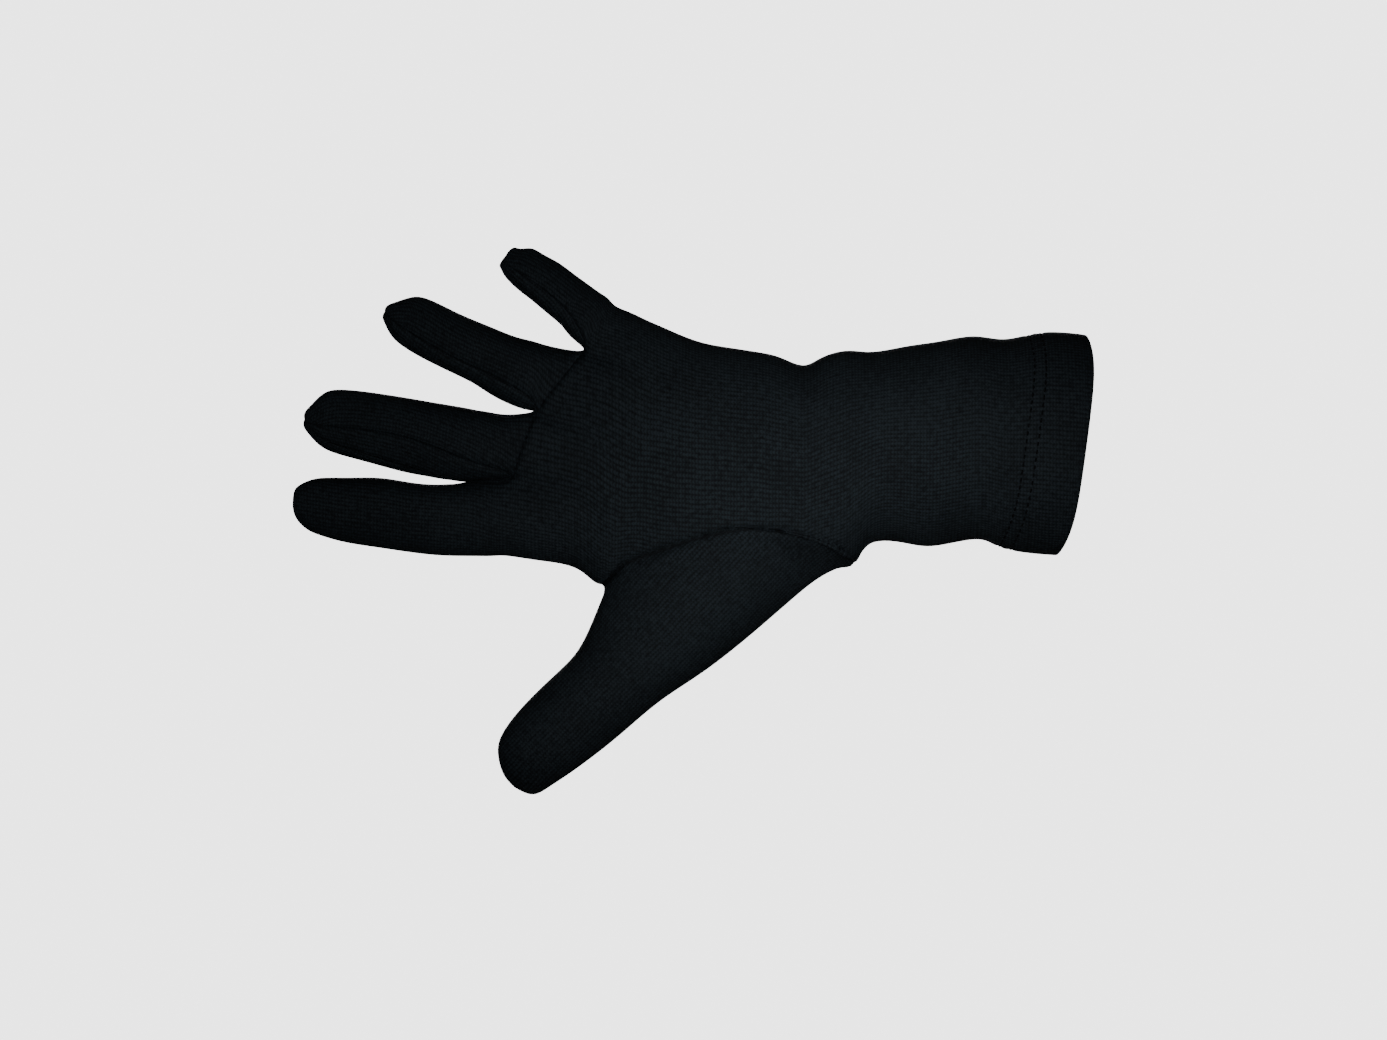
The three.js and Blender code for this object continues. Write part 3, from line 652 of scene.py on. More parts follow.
class Surface:
    """The outer face of the whole glove, smooth and through the points of its net, in
    metres, with the outward direction at each point."""

    def __init__(self):
        net = glove_net()
        points = np.array(net.points) * MM
        panel, faces, in_hem = (list(values) for values in zip(*net.faces))
        knit = [value for face in faces for point, place in face for value in place]
        mesh = bpy.data.meshes.new("net")
        mesh.from_pydata(points.tolist(), [], [[point for point, place in face] for face in faces])
        mesh.uv_layers.new(name="knit").data.foreach_set("uv", knit)
        for name, values in (("panel", panel), ("in_hem", in_hem)):
            mesh.attributes.new(name, "INT", "FACE").data.foreach_set("value", values)
        cage = points.copy()
        for _ in range(FITTING_ROUNDS):
            fine = subdivided(mesh)
            reached = read(fine.vertices, "co", np.float32, 3)[:len(points)]
            cage += points - reached
            mesh.vertices.foreach_set("co", cage.ravel())
        fine = subdivided(mesh)
        self.places = read(fine.vertices, "co", np.float32, 3).astype(float)
        self.quads = read(fine.loops, "vertex_index", np.int32, 1).reshape(-1, 4)
        self.knit = read(fine.uv_layers["knit"].data, "uv", np.float32, 2).reshape(-1, 4, 2)
        self.panel = read(fine.attributes["panel"].data, "value", np.int32, 1)
        self.in_hem = read(fine.attributes["in_hem"].data, "value", np.int32, 1)
        self.outward = outward_directions(self.places, self.quads)
        for place, height, reach in SEAM_END:
            away = np.linalg.norm(self.places / MM - place, axis=1)
            self.places += self.outward * (height * MM * bell(away, reach))[:, None]
        self.outward = outward_directions(self.places, self.quads)
        self.from_mouth = self.distance_from(border_of(self.quads))
        self.from_seam = self.seam_distances()

    def distance_from(self, edges):
        """How far each point lies from the nearest of some edges."""
        shares = np.arange(EDGE_POINTS)[:, None, None] / EDGE_POINTS
        starts, ends = self.places[edges[:, 0]], self.places[edges[:, 1]]
        return distances(self.places, lerp(starts, ends, shares).reshape(-1, 3))

    def seam_distances(self):
        """How far each point lies from the thumb's seam, or from one of the flatter others."""
        seams = [
            sewn_edges(self.quads[self.panel == number], self.from_mouth)
            for number in range(len(PANELS))
        ]
        thumb = seams[PANELS.index("thumb")]
        edges = np.concatenate(seams)
        flatter = edges[~np.isin(edges, thumb).all(axis=1)]
        return np.minimum(self.distance_from(thumb), self.distance_from(flatter) + FLAT_SEAM)

    def part(self, mine):
        """Some of the faces, with their points numbered anew: the faces, then the points'
        places, outward directions and distances from the mouth and from a seam."""
        used, quads = np.unique(self.quads[mine], return_inverse=True)
        fields = (self.places, self.outward, self.from_mouth, self.from_seam)
        return quads.reshape(-1, 4), *(field[used] for field in fields)


def outward_directions(places, quads):
    """The outward direction at each point: the mean of its faces', by their sizes."""
    across = places[quads[:, 2]] - places[quads[:, 0]]
    along = places[quads[:, 3]] - places[quads[:, 1]]
    face_way = np.cross(across, along)
    way = np.zeros_like(places)
    for corner in range(4):
        np.add.at(way, quads[:, corner], face_way)
    return way / np.linalg.norm(way, axis=1, keepdims=True)


def edges_of(quads):
    """The edges of all faces, so that an edge between two faces is there twice."""
    return np.concatenate([quads[:, [n, (n + 1) % 4]] for n in range(4)]).astype(np.int64)


def border_of(quads):
    """The edges that only one face has, each in the direction that its face gives it."""
    edges = edges_of(quads)
    count = quads.max() + 1
    forth = edges[:, 0] * count + edges[:, 1]
    back = edges[:, 1] * count + edges[:, 0]
    return edges[~np.isin(forth, back)]


def sewn_edges(quads, from_mouth):
    """The border of a panel without its edges at the mouth."""
    border = border_of(quads)
    return border[from_mouth[border].max(axis=1) > AT_MOUTH]


def distances(places, targets):
    """How far each place lies from the nearest target."""
    tree = KDTree(len(targets))
    for n, place in enumerate(targets):
        tree.insert(place, n)
    tree.balance()
    return np.array([tree.find(place)[2] for place in places])


# A piece is shaded smooth except over edges sharper than this, in degrees
SHARP_ANGLE = 60


def closed_piece(name, outer, inner, quads, knit, from_seam):
    """A piece of knit as a closed wall: its outer face, its inner face and its edges."""
    count = len(outer)
    border = border_of(quads)
    rim = np.stack([border[:, 1], border[:, 0], border[:, 0] + count, border[:, 1] + count], axis=1)
    faces = np.concatenate([quads, quads[:, ::-1] + count, rim])
    at_point = np.zeros((count, 2))
    at_point[quads.ravel()] = knit.reshape(-1, 2)
    rim_knit = at_point[rim % count]
    mesh = bpy.data.meshes.new(name)
    mesh.from_pydata(np.concatenate([outer, inner]).tolist(), [], faces.tolist())
    layer = mesh.uv_layers.new(name="knit")
    layer.data.foreach_set("uv", np.concatenate([knit, knit[:, ::-1], rim_knit]).ravel())
    shade = mesh.attributes.new("from_seam", "FLOAT", "POINT")
    shade.data.foreach_set("value", np.tile(from_seam, 2))
    mesh.polygons.foreach_set("use_smooth", [True] * len(faces))
    mesh.set_sharp_from_angle(angle=math.radians(SHARP_ANGLE))
    return linked(name, mesh)


# The hem is held by two needle rows of one coverstitch, this far from the mouth, and the
# thread draws the knit in as far as the pull on either side
STITCH_ROWS = (16.2 * MM, 20.0 * MM)
STITCH_PULL = 0.9 * MM

# The ridge beside a seam lies this many seam widths from it
RIDGE_AT = 2.2


def mouth_fold(from_mouth, sizes):
    """The radius of the fold at the mouth and, for each point, how much of the fold's depth is
    still ahead of it and how far it has turned, both as shares."""
    radius = sizes.wall + sizes.layer_gap / 2
    ahead = np.clip(1 - from_mouth / radius, 0, 1)
    return radius, ahead, np.sqrt(1 - ahead ** 2)


def panel_piece(surface, name, sizes):
    """A sewn panel. Its edges dip into the seams, and at the mouth they roll into the fold."""
    mine = surface.panel == PANELS.index(name)
    quads, places, outward, from_mouth, from_seam = surface.part(mine)
    seam_points = np.unique(sewn_edges(quads, from_mouth))
    width = sizes.seam_width
    dip = sizes.seam_depth * bell(from_seam, width)
    ridge = sizes.seam_ridge * bell(from_seam - RIDGE_AT * width, width)
    drawn = sizes.stitch_groove * sum(bell(from_mouth - row, STITCH_PULL) for row in STITCH_ROWS)
    radius, ahead, turned = mouth_fold(from_mouth, sizes)
    roll = radius * (1 - turned)
    outer = places - outward * (roll + (dip - ridge) * (1 - ahead) + drawn)[:, None]
    inner = places - outward * (roll + sizes.wall * turned)[:, None]
    inner[:, 0] -= sizes.wall * ahead
    draw_back(outer, quads, seam_points, sizes.seam_gap / 2)
    draw_back(inner, quads, seam_points, -sizes.seam_allowance)
    return closed_piece(name + "_knit", outer, inner, quads, surface.knit[mine], from_seam)


def draw_back(places, quads, border_points, reach):
    """Moves the points on a seam back into their own panel, or out of it if reach is less
    than 0."""
    is_border = np.zeros(len(places), bool)
    is_border[border_points] = True
    total = np.zeros_like(places)
    count = np.zeros(len(places))
    for n in range(4):
        for other in (1, 2, 3):
            corner, far = quads[:, n], quads[:, (n + other) % 4]
            counts = is_border[corner] & ~is_border[far]
            np.add.at(total, corner[counts], places[far[counts]] - places[corner[counts]])
            np.add.at(count, corner[counts], 1)
    moved = count > 0
    way = total[moved] / np.linalg.norm(total[moved], axis=1, keepdims=True)
    places[moved] += way * reach


def hem_piece(surface, sizes):
    """The end of the cuff, turned in: a second layer whose seen face is towards the hand."""
    mine = surface.in_hem == 1
    quads, places, outward, from_mouth, from_seam = surface.part(mine)
    radius, ahead, turned = mouth_fold(from_mouth, sizes)
    depth = radius * (1 + turned)
    inner = places - outward * depth[:, None]
    outer = places - outward * (depth - sizes.wall * turned)[:, None]
    outer[:, 0] -= sizes.wall * ahead
    return closed_piece("cuff_hem_knit", outer, inner, quads, surface.knit[mine], from_seam)


def linear(colour):
    """A linear colour from an sRGB hex value such as 0x1a2b3c."""
    channels = [(colour >> shift & 255) / 255 for shift in (16, 8, 0)]
    return [c / 12.92 if c <= 0.04045 else ((c + 0.055) / 1.055) ** 2.4 for c in channels]


def add_node(tree, kind, settings=None, inputs=None, links=None):
    """Adds a node with its settings, its inputs' values and the links into it."""
    node = tree.nodes.new(kind)
    for name, value in (settings or {}).items():
        setattr(node, name, value)
    for name, value in (inputs or {}).items():
        node.inputs[name].default_value = value
    for name, source in (links or {}).items():
        tree.links.new(source, node.inputs[name])
    return node


def calculate(tree, operation, *terms):
    """Arithmetic on numbers and on the outputs of other nodes."""
    values = {n: term for n, term in enumerate(terms) if isinstance(term, (int, float))}
    links = {n: term for n, term in enumerate(terms) if not isinstance(term, (int, float))}
    return add_node(tree, "ShaderNodeMath", {"operation": operation}, values, links).outputs[0]


def noise(tree, size, detail, vector):
    """A noise from 0 to 1 whose lumps have this size."""
    return add_node(
        tree, "ShaderNodeTexNoise", inputs={"Scale": 1 / size, "Detail": detail},
        links={"Vector": vector}).outputs["Fac"]


def add_relief(tree, shader, height, depth, strength):
    """Lets a height from 0 to 1 stand out by a depth, as bumps in the shading."""
    bump = add_node(
        tree, "ShaderNodeBump", inputs={"Strength": strength, "Distance": depth},
        links={"Height": height})
    tree.links.new(bump.outputs["Normal"], shader.inputs["Normal"])


def new_material(name):
    """A new material, its node tree and its shader, all at their defaults."""
    material = bpy.data.materials.new(name)
    material.use_nodes = True
    tree = material.node_tree
    tree.nodes.clear()
    shader = add_node(tree, "ShaderNodeBsdfPrincipled")
    add_node(tree, "ShaderNodeOutputMaterial", links={"Surface": shader.outputs["BSDF"]})
    return material, tree, shader


# Fine jersey, in which each wale, an upright row of stitches, is a rib of V stitches. The
# real wales are about 0.9 mm apart, which is two pixels of the render, so they are drawn
# 1.25 mm apart, as coarse as they need to be to show. A course is one stitch of a wale. The
# legs of its V slant, and between two ribs the colour is darker by the contrast: painted
# shade in the hollow between them.
WALE = 1.25
COURSE = 1.05
LEG_SLANT = 0.8
RIB_CONTRAST = 0.65

# The painted light and shade of a stitch swings along its wale by the first share round the second
STITCH_SWING = (0.26, 0.78)

# A range turns a noise from 0 to 1 into a share: times the first number, plus the second.
# The wales wander sideways by a share of their width.
DRIFT_SIZE = 8 * MM
DRIFT_RANGE = (0.6, -0.3)

# The yarn is thick and thin along its wale, in streaks of this width and length in mm
STREAK_WIDTH = 1.1
STREAK_LENGTH = 1.9
STREAK_RANGE = (2.4, -0.2)

# The dyeing is uneven, and soft blotches of painted highlight lie over it
DYE_AND_HIGHLIGHT_SIZE = 15 * MM
DYE_AND_HIGHLIGHT_RANGE = (1.1, 0.45)

# A seam is darker by a share, and the shade reaches this far from it
CREASE_SHADE = 0.7
CREASE_REACH = 0.55 * MM

# How far the stitches stand out, and the share of that which the streaks add to them
KNIT_RELIEF = 0.12 * MM
STREAK_RELIEF = 0.3

# The matt finish of spun polyester, and how much the knit and the thread shine
FIBRE_ROUGHNESS = 0.8
KNIT_SHINE = 0.15
THREAD_SHINE = 0.1

# The sockets that a mix node uses for colours: the share, the two colours and the result
MIX_SHARE, MIX_FIRST, MIX_SECOND, MIX_RESULT = 0, 6, 7, 2


def jersey_material(name, colour, groove_shade_colour):
    """Spun polyester jersey, dyed black: matt, with fine upright ribs of V stitches, painted
    shade between them and in the seams, streaks of thick yarn that break the ribs up, and
    uneven dyeing under soft blotches of painted highlight."""
    material, tree, shader = new_material(name)
    number = partial(calculate, tree)
    places = add_node(tree, "ShaderNodeUVMap", {"uv_map": "knit"}).outputs["UV"]
    knit = add_node(tree, "ShaderNodeSeparateXYZ", links={"Vector": places})
    body = add_node(tree, "ShaderNodeTexCoord").outputs["Object"]

    drift = number("MULTIPLY_ADD", noise(tree, DRIFT_SIZE, 2, body), *DRIFT_RANGE)
    across = number("ADD", number("DIVIDE", knit.outputs["X"], WALE), drift)
    # The stitches, as relief and as painted shade between the ribs and painted light and shade along
    # each wale
    side = number("PINGPONG", across, 0.5)
    rib = number("COSINE", number("MULTIPLY", side, math.pi))
    rib = number("MULTIPLY_ADD", rib, RIB_CONTRAST, 1 - RIB_CONTRAST)
    up = number("MULTIPLY_ADD", side, LEG_SLANT, number("DIVIDE", knit.outputs["Y"], COURSE))
    ripple = number("COSINE", number("MULTIPLY", up, 2 * math.pi))
    stitch = number("MULTIPLY", rib, number("MULTIPLY_ADD", ripple, *STITCH_SWING))

    yarn = add_node(tree, "ShaderNodeCombineXYZ", links={
        "X": number("DIVIDE", knit.outputs["X"], STREAK_WIDTH),
        "Y": number("DIVIDE", knit.outputs["Y"], STREAK_LENGTH),
    })
    streak = number("MULTIPLY_ADD", noise(tree, 1, 2, yarn.outputs[0]), *STREAK_RANGE)
    # Uneven dyeing and soft blotches of painted highlight, in one noise
    dye_and_highlight = number("MULTIPLY_ADD", noise(tree, DYE_AND_HIGHLIGHT_SIZE, 3, body), *DYE_AND_HIGHLIGHT_RANGE)

    # Painted shade in the crease of each seam, strongest on the seam and gone past its reach
    seam = add_node(tree, "ShaderNodeAttribute", {"attribute_name": "from_seam"})
    away = number("DIVIDE", seam.outputs["Fac"], CREASE_REACH)
    crease = number("EXPONENT", number("MULTIPLY", number("MULTIPLY", away, away), -1))
    open_share = number("MULTIPLY_ADD", crease, -CREASE_SHADE, 1)

    shade = number("MULTIPLY", number("MULTIPLY", stitch, streak), dye_and_highlight)
    shade = number("MULTIPLY", shade, open_share)
    colours = {MIX_FIRST: (*groove_shade_colour, 1), MIX_SECOND: (*colour, 1)}
    tone = add_node(tree, "ShaderNodeMix", {"data_type": "RGBA"}, colours, {MIX_SHARE: shade})
    tree.links.new(tone.outputs[MIX_RESULT], shader.inputs["Base Color"])
    add_relief(tree, shader, number("MULTIPLY_ADD", streak, STREAK_RELIEF, stitch), KNIT_RELIEF, 1)
    shader.inputs["Roughness"].default_value = FIBRE_ROUGHNESS
    shader.inputs["Specular IOR Level"].default_value = KNIT_SHINE
    return material


# The twist of the sewing thread: the size of its lumps, how far they stand out and how
# strongly the shading shows it
TWIST_SIZE = 0.3 * MM
TWIST_RELIEF = 0.05 * MM
TWIST_STRENGTH = 0.6


def thread_material(name, colour):
    """Spun polyester sewing thread: duller and darker than the knit that it sinks into."""
    material, tree, shader = new_material(name)
    body = add_node(tree, "ShaderNodeTexCoord").outputs["Object"]
    add_relief(tree, shader, noise(tree, TWIST_SIZE, 2, body), TWIST_RELIEF, TWIST_STRENGTH)
    shader.inputs["Base Color"].default_value = (*colour, 1)
    shader.inputs["Roughness"].default_value = FIBRE_ROUGHNESS
    shader.inputs["Specular IOR Level"].default_value = THREAD_SHINE
    return material


# How many sides a thread has, and how many pieces a stitch's bend
STITCH_SIDES = 6
STITCH_BENDS = 6


def line_at(surface, distance):
    """The closed line on the cuff at a distance from the mouth, as its places and outward
    directions in their order round the cuff."""
    a, b = np.unique(np.sort(edges_of(surface.quads), axis=1), axis=0).T
    left = distance - surface.from_mouth
    crossed = left[a] * left[b] < 0
    a, b = a[crossed], b[crossed]
    share = (left[a] / (left[a] - left[b]))[:, None]
    places = lerp(surface.places[a], surface.places[b], share)
    outward = lerp(surface.outward[a], surface.outward[b], share)
    middle = (places.min(axis=0) + places.max(axis=0)) / 2
    order = np.argsort(np.arctan2(places[:, 1] - middle[1], places[:, 2] - middle[2]))
    return places[order], outward[order]


def stitch_tree(material):
    """A tree that lays a row of short threads along a line, each bent down at its ends."""
    tree = bpy.data.node_groups.new("needle_row", "GeometryNodeTree")
    tree.is_modifier = True
    tree.interface.new_socket("Line", in_out="INPUT", socket_type="NodeSocketGeometry")
    for name in ("Pitch", "Stitch Length", "Thread Radius", "Sink"):
        tree.interface.new_socket(name, in_out="INPUT", socket_type="NodeSocketFloat")
    tree.interface.new_socket("Stitches", in_out="OUTPUT", socket_type="NodeSocketGeometry")
    given = add_node(tree, "NodeGroupInput").outputs

    def output(kind, settings=None, inputs=None, **links):
        """The first output of a new node."""
        return add_node(tree, kind, settings, inputs, links).outputs[0]

    half = calculate(tree, "MULTIPLY", given["Stitch Length"], 0.5)
    back = calculate(tree, "MULTIPLY", given["Stitch Length"], -0.5)
    under = calculate(tree, "MULTIPLY", given["Sink"], -1)
    start = output("ShaderNodeCombineXYZ", X=back, Z=under)
    top = output("ShaderNodeCombineXYZ", Z=given["Sink"])
    end = output("ShaderNodeCombineXYZ", X=half, Z=under)
    bend = output(
        "GeometryNodeCurveQuadraticBezier", inputs={"Resolution": STITCH_BENDS},
        Start=start, Middle=top, End=end)
    ring = output(
        "GeometryNodeCurvePrimitiveCircle", inputs={"Resolution": STITCH_SIDES},
        Radius=given["Thread Radius"])
    thread = add_node(
        tree, "GeometryNodeCurveToMesh", inputs={"Fill Caps": True},
        links={"Curve": bend, "Profile Curve": ring})

    curve = output("GeometryNodeMeshToCurve", Mesh=given["Line"])
    places = add_node(
        tree, "GeometryNodeCurveToPoints", {"mode": "LENGTH"},
        links={"Curve": curve, "Length": given["Pitch"]})
    outward = add_node(
        tree, "GeometryNodeInputNamedAttribute", {"data_type": "FLOAT_VECTOR"}, {"Name": "outward"})
    align = "FunctionNodeAlignRotationToVector"
    along = output(align, {"axis": "X"}, Vector=places.outputs["Tangent"])
    upright = output(
        align, {"axis": "Z", "pivot_axis": "X"},
        Rotation=along, Vector=outward.outputs["Attribute"])
    row = output(
        "GeometryNodeInstanceOnPoints",
        Points=places.outputs["Points"], Instance=thread.outputs[0], Rotation=upright)
    real = output("GeometryNodeRealizeInstances", Geometry=row)
    smooth = output("GeometryNodeSetShadeSmooth", Geometry=real)
    painted = output("GeometryNodeSetMaterial", inputs={"Material": material}, Geometry=smooth)
    add_node(tree, "NodeGroupOutput", links={"Stitches": painted})
    return tree


def line_mesh(name, places, outward):
    """A closed line through some places that keeps the outward direction at each."""
    mesh = bpy.data.meshes.new(name)
    count = len(places)
    mesh.from_pydata(places.tolist(), [(n, (n + 1) % count) for n in range(count)], [])
    ways = mesh.attributes.new("outward", "FLOAT_VECTOR", "POINT")
    ways.data.foreach_set("vector", outward.ravel())
    return mesh


def laid(name, mesh, tree, values):
    """The result of a tree on a mesh, as a plain mesh object of its own."""
    line = linked(name + "_line", mesh)
    modifier = line.modifiers.new("stitches", "NODES")
    modifier.node_group = tree
    for item in tree.interface.items_tree:
        if item.in_out == "INPUT" and item.name in values:
            modifier[item.identifier] = values[item.name]
    graph = bpy.context.evaluated_depsgraph_get()
    plain = bpy.data.meshes.new_from_object(line.evaluated_get(graph))
    bpy.data.objects.remove(line)
    return linked(name, plain)


def dress(piece, material, slot, *nodes):
    """Gives a piece its material and says what it rides on and replaces."""
    piece.data.materials.append(material)
    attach(piece, "root")
    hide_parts(*nodes)


def length(name, description, value):
    """A size that the panel shows, from its value in millimetres."""
    return FloatProperty(name=name, description=description, default=value * MM, unit="LENGTH")


def paint(name, description, value):
    """A colour that the panel shows, from its sRGB hex value."""
    return FloatVectorProperty(
        name=name, description=description, subtype="COLOR", default=linear(value))


class GloveSizes(bpy.types.PropertyGroup):
    wall: length("Wall", "Thickness of the knit", 1.2)
    layer_gap: length("Layer gap", "Gap between the cuff and its turned-in hem", 0.3)
    seam_gap: length("Seam gap", "Gap between two sewn panels on the outside", 0.08)
    seam_allowance: length("Seam allowance", "How far sewn panels lap on the inside", 0.2)
    seam_depth: length("Seam depth", "How deep a seam lies", 0.48)
    seam_width: length("Seam width", "How far from a seam the knit starts to dip", 1.2)
    seam_ridge: length("Seam ridge", "Height of the ridge beside a seam, over its allowance", 0.12)
    stitch_pitch: length("Stitch pitch", "From one stitch of the hem to the next", 2.6)
    stitch_length: length("Stitch length", "Length of a stitch that lies on the knit", 1.35)
    # The real thread is too fine to show, so it is drawn about twice as thick
    thread_radius: length("Thread radius", "Half the thickness of the thread as drawn", 0.4)
    stitch_sink: length("Stitch sink", "How far the ends of a stitch lie under the knit", 0.3)
    stitch_groove: length("Stitch groove", "How deep the thread draws the knit in", 0.35)


class GloveColours(bpy.types.PropertyGroup):
    knit: paint("Knit", "Colour of the thick yarn on top of a stitch", 0x21292E)
    # This colour is painted shade between the stitches and in the seams
    groove_shade: paint("Groove", "Colour between the stitches", 0x040507)
    hem: paint("Hem", "Colour of the yarn of the turned-in hem, less rubbed and paler", 0x252D32)
    thread: paint("Thread", "Colour of the sewing thread", 0x080A0C)
    floor: paint("Floor", "Colour of the floor", 0xE6E6E6)


# What the operators share, each made once: the glove's surface and the knit's material
made = {}


def shared(name, make):
    if name not in made:
        made[name] = make()
    return made[name]


def shared_surface():
    return shared("surface", Surface)


class MakePanels:
    """Makes the panels that it names."""
    panels = []

    def execute(self, context):
        colours = context.scene.glove_colours
        material = shared("knit", lambda: jersey_material(
            "black_spun_polyester_jersey", colours.knit, colours.groove_shade))
        for name in self.panels:
            piece = panel_piece(shared_surface(), name, context.scene.glove_sizes)
            dress(piece, material, "knit", name)
        return {"FINISHED"}


class GLOVE_OT_hand_panels(MakePanels, bpy.types.Operator):
    """Make the palm and the back, each cut in one with its fingers and its side of the cuff"""
    bl_idname = "glove.hand_panels"
    bl_label = "Palm and back"
    panels = ["palm", "back"]


class GLOVE_OT_finger_panels(MakePanels, bpy.types.Operator):
    """Make the fronts of the middle and ring fingers and the strips between the fingers"""
    bl_idname = "glove.finger_panels"
    bl_label = "Finger fronts and strips"
    panels = [
        "middle_finger_front", "ring_finger_front", "fourchette_index_middle",
        "fourchette_middle_ring", "fourchette_ring_little",
    ]


class GLOVE_OT_thumb(MakePanels, bpy.types.Operator):
    """Make the set-in thumb"""
    bl_idname = "glove.thumb"
    bl_label = "Thumb"
    panels = ["thumb"]


class GLOVE_OT_hem(bpy.types.Operator):
    """Make the end of the cuff that is turned in"""
    bl_idname = "glove.hem"
    bl_label = "Hem"

    def execute(self, context):
        colours = context.scene.glove_colours
        material = jersey_material("black_jersey_turned_in", colours.hem, colours.groove_shade)
        piece = hem_piece(shared_surface(), context.scene.glove_sizes)
        dress(piece, material, "hem_knit", "cuff_hem")
        return {"FINISHED"}


class GLOVE_OT_hem_stitches(bpy.types.Operator):
    """Sew the two needle rows that hold the hem"""
    bl_idname = "glove.hem_stitches"
    bl_label = "Hem stitches"

    def execute(self, context):
        sizes, colours = context.scene.glove_sizes, context.scene.glove_colours
        material = thread_material("black_sewing_thread", colours.thread)
        tree = stitch_tree(material)
        values = {
            "Pitch": sizes.stitch_pitch, "Stitch Length": sizes.stitch_length,
            "Thread Radius": sizes.thread_radius, "Sink": sizes.stitch_sink,
        }
        for number, distance in enumerate(STITCH_ROWS, 1):
            places, outward = line_at(shared_surface(), distance)
            mesh = line_mesh("row", places - outward * sizes.stitch_groove, outward)
            piece = laid(f"hem_stitches_{number}", mesh, tree, values)
            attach(piece, "root")
        return {"FINISHED"}


# The camera, straight in front of the palm, and how much of the glove's plane it takes in
CAMERA_PLACE = (-55.6 * MM, -2.0, -23.4 * MM)
VIEW_WIDTH = 457.7 * MM
SENSOR_WIDTH = 36.0
CAMERA_RANGE = (0.1, 20)

# The dish that the glove hangs in, in metres: a floor that starts as a small disc and curves
# up into a wall all round
DISC_RADIUS = 0.01
FLOOR_HEIGHT = -2.3
FLOOR_RADIUS = 2.0
WALL_RADIUS = 3.2
WALL_HEIGHT = 3.2
DISH_SIDES = 96
DISH_ROWS = 24

# The dish glows evenly, as a lit sweep does, and lights nothing, which is left to the lamps
FLOOR_GLOW = 4.2


def add_floor(colour):
    """The pale dish, which the glove neither mirrors nor takes light from."""
    curve = WALL_RADIUS - FLOOR_RADIUS
    rows = [(DISC_RADIUS, FLOOR_HEIGHT)]
    for k in range(DISH_ROWS + 1):
        turn = math.pi / 2 * k / DISH_ROWS
        rise = curve * (1 - math.cos(turn))
        rows.append((FLOOR_RADIUS + curve * math.sin(turn), FLOOR_HEIGHT + rise))
    rows.append((WALL_RADIUS, WALL_HEIGHT))
    turns = [2 * math.pi * n / DISH_SIDES for n in range(DISH_SIDES)]
    points = [(r * math.cos(t), r * math.sin(t), z) for r, z in rows for t in turns]
    faces = [tuple(range(DISH_SIDES))]
    for start in range(0, len(points) - DISH_SIDES, DISH_SIDES):
        for n in range(DISH_SIDES):
            low, low_next = start + n, start + (n + 1) % DISH_SIDES
            faces.append((low + DISH_SIDES, low_next + DISH_SIDES, low_next, low))
    mesh = bpy.data.meshes.new("floor")
    mesh.from_pydata(points, [], faces)
    mesh.polygons.foreach_set("use_smooth", [True] * len(faces))
    material, tree, shader = new_material("pale_painted_floor")
    shader.inputs["Base Color"].default_value = (0, 0, 0, 1)
    shader.inputs["Roughness"].default_value = 1.0
    shader.inputs["Specular IOR Level"].default_value = 0.0
    shader.inputs["Emission Color"].default_value = (*colour, 1)
    shader.inputs["Emission Strength"].default_value = FLOOR_GLOW
    mesh.materials.append(material)
    floor = linked("floor", mesh)
    floor.visible_diffuse = False
    floor.visible_glossy = False


# Soft square lights: where they stand, what they are aimed at, their size, their power and
# the angle that they light. Of the three in front, two are near, one for the wrist and one
# for the root of the thumb, so that their light falls off to the fingertips.
SOFT_LIGHTS = [
    ("wrist", (0.014, -0.20, 0.000), (0.014, 0, 0.000), 0.10, 0.042, 82),
    ("thumb", (-0.052, -0.21, -0.064), (-0.052, 0, -0.064), 0.10, 0.026, 78),
    ("fingers", (-0.19, -0.45, 0.03), (-0.19, 0, 0.03), 0.20, 0.10, 78),
    ("behind", (-0.03, 0.80, 0.05), (-0.03, 0, 0), 0.60, 3.6, 180),
    ("above", (-0.05, 0.30, 0.90), (-0.05, 0, 0), 0.60, 0.4, 180),
    ("below", (-0.05, 0.30, -0.90), (-0.05, 0, 0), 0.60, 0.4, 180),
    ("right", (0.90, 0.10, 0.00), (0, 0, 0), 0.60, 0.6, 180),
    ("left", (-1.00, 0.10, 0.00), (0, 0, 0), 0.60, 0.4, 180),
]


def add_soft_light(name, place, aim, size, power, spread):
    light = bpy.data.lights.new(name, "AREA")
    light.size = size
    light.energy = power
    light.spread = math.radians(spread)
    lamp = linked(name, light)
    lamp.location = place
    lamp.rotation_euler = (Vector(aim) - Vector(place)).to_track_quat("-Z", "Y").to_euler()
    lamp.visible_camera = False


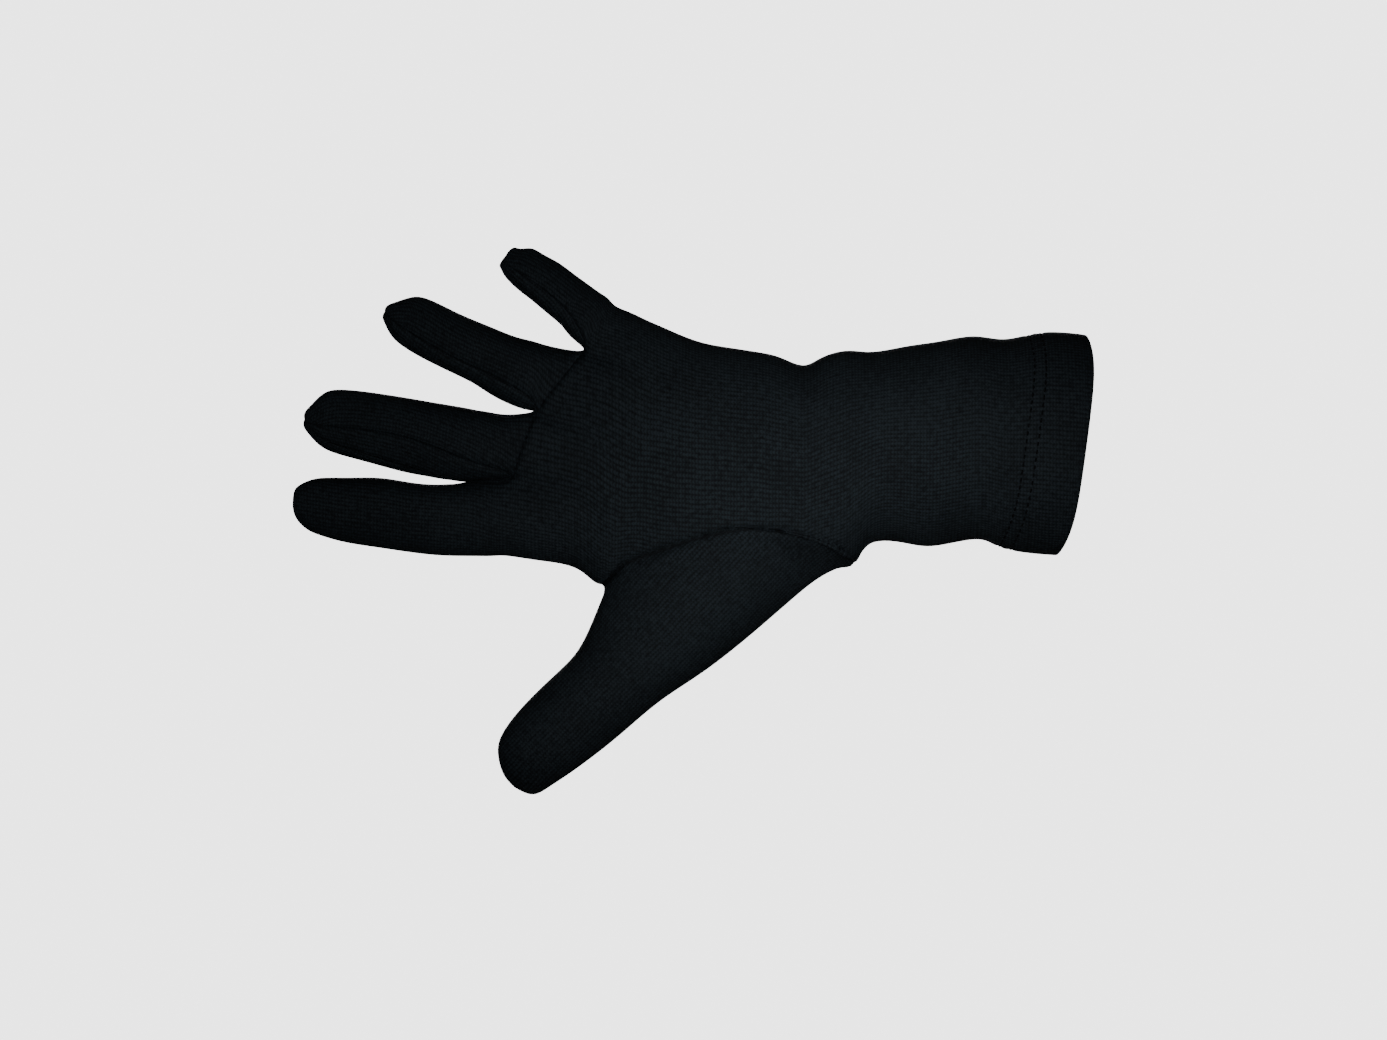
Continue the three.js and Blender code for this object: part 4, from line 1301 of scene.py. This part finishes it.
def add_camera():
    camera = linked("camera", bpy.data.cameras.new("camera"))
    camera.data.sensor_width = SENSOR_WIDTH
    camera.data.lens = SENSOR_WIDTH * -CAMERA_PLACE[1] / VIEW_WIDTH
    camera.data.clip_start, camera.data.clip_end = CAMERA_RANGE
    camera.location = CAMERA_PLACE
    camera.rotation_euler = (math.pi / 2, 0, 0)
    return camera


class GLOVE_OT_stage(bpy.types.Operator):
    """Make the pale floor, the soft lights and the camera in front of the palm"""
    bl_idname = "glove.stage"
    bl_label = "Stage"

    def execute(self, context):
        add_floor(context.scene.glove_colours.floor)
        for soft_light in SOFT_LIGHTS:
            add_soft_light(*soft_light)
        context.scene.camera = add_camera()
        return {"FINISHED"}


OPERATORS = [
    GLOVE_OT_stage, GLOVE_OT_hand_panels, GLOVE_OT_finger_panels, GLOVE_OT_thumb, GLOVE_OT_hem,
    GLOVE_OT_hem_stitches,
]


class GLOVE_PT_panel(bpy.types.Panel):
    bl_idname = "GLOVE_PT_panel"
    bl_label = "Glove liner"
    bl_space_type = "VIEW_3D"
    bl_region_type = "UI"
    bl_category = "Glove"

    def draw(self, context):
        for operator in OPERATORS:
            self.layout.operator(operator.bl_idname)
        for group in (context.scene.glove_sizes, context.scene.glove_colours):
            for name in group.bl_rna.properties.keys():
                if name not in ("rna_type", "name"):
                    self.layout.prop(group, name)


def register():
    for each in (GloveSizes, GloveColours, *OPERATORS, GLOVE_PT_panel):
        bpy.utils.register_class(each)
    bpy.types.Scene.glove_sizes = PointerProperty(type=GloveSizes)
    bpy.types.Scene.glove_colours = PointerProperty(type=GloveColours)


def unregister():
    del bpy.types.Scene.glove_colours
    del bpy.types.Scene.glove_sizes
    for each in (GLOVE_PT_panel, *OPERATORS[::-1], GloveColours, GloveSizes):
        bpy.utils.unregister_class(each)


def main():
    register()
    bpy.ops.glove.stage()
    bpy.ops.glove.hand_panels()
    bpy.ops.glove.finger_panels()
    bpy.ops.glove.thumb()
    bpy.ops.glove.hem()
    bpy.ops.glove.hem_stitches()


if __name__ == "__main__":
    main()
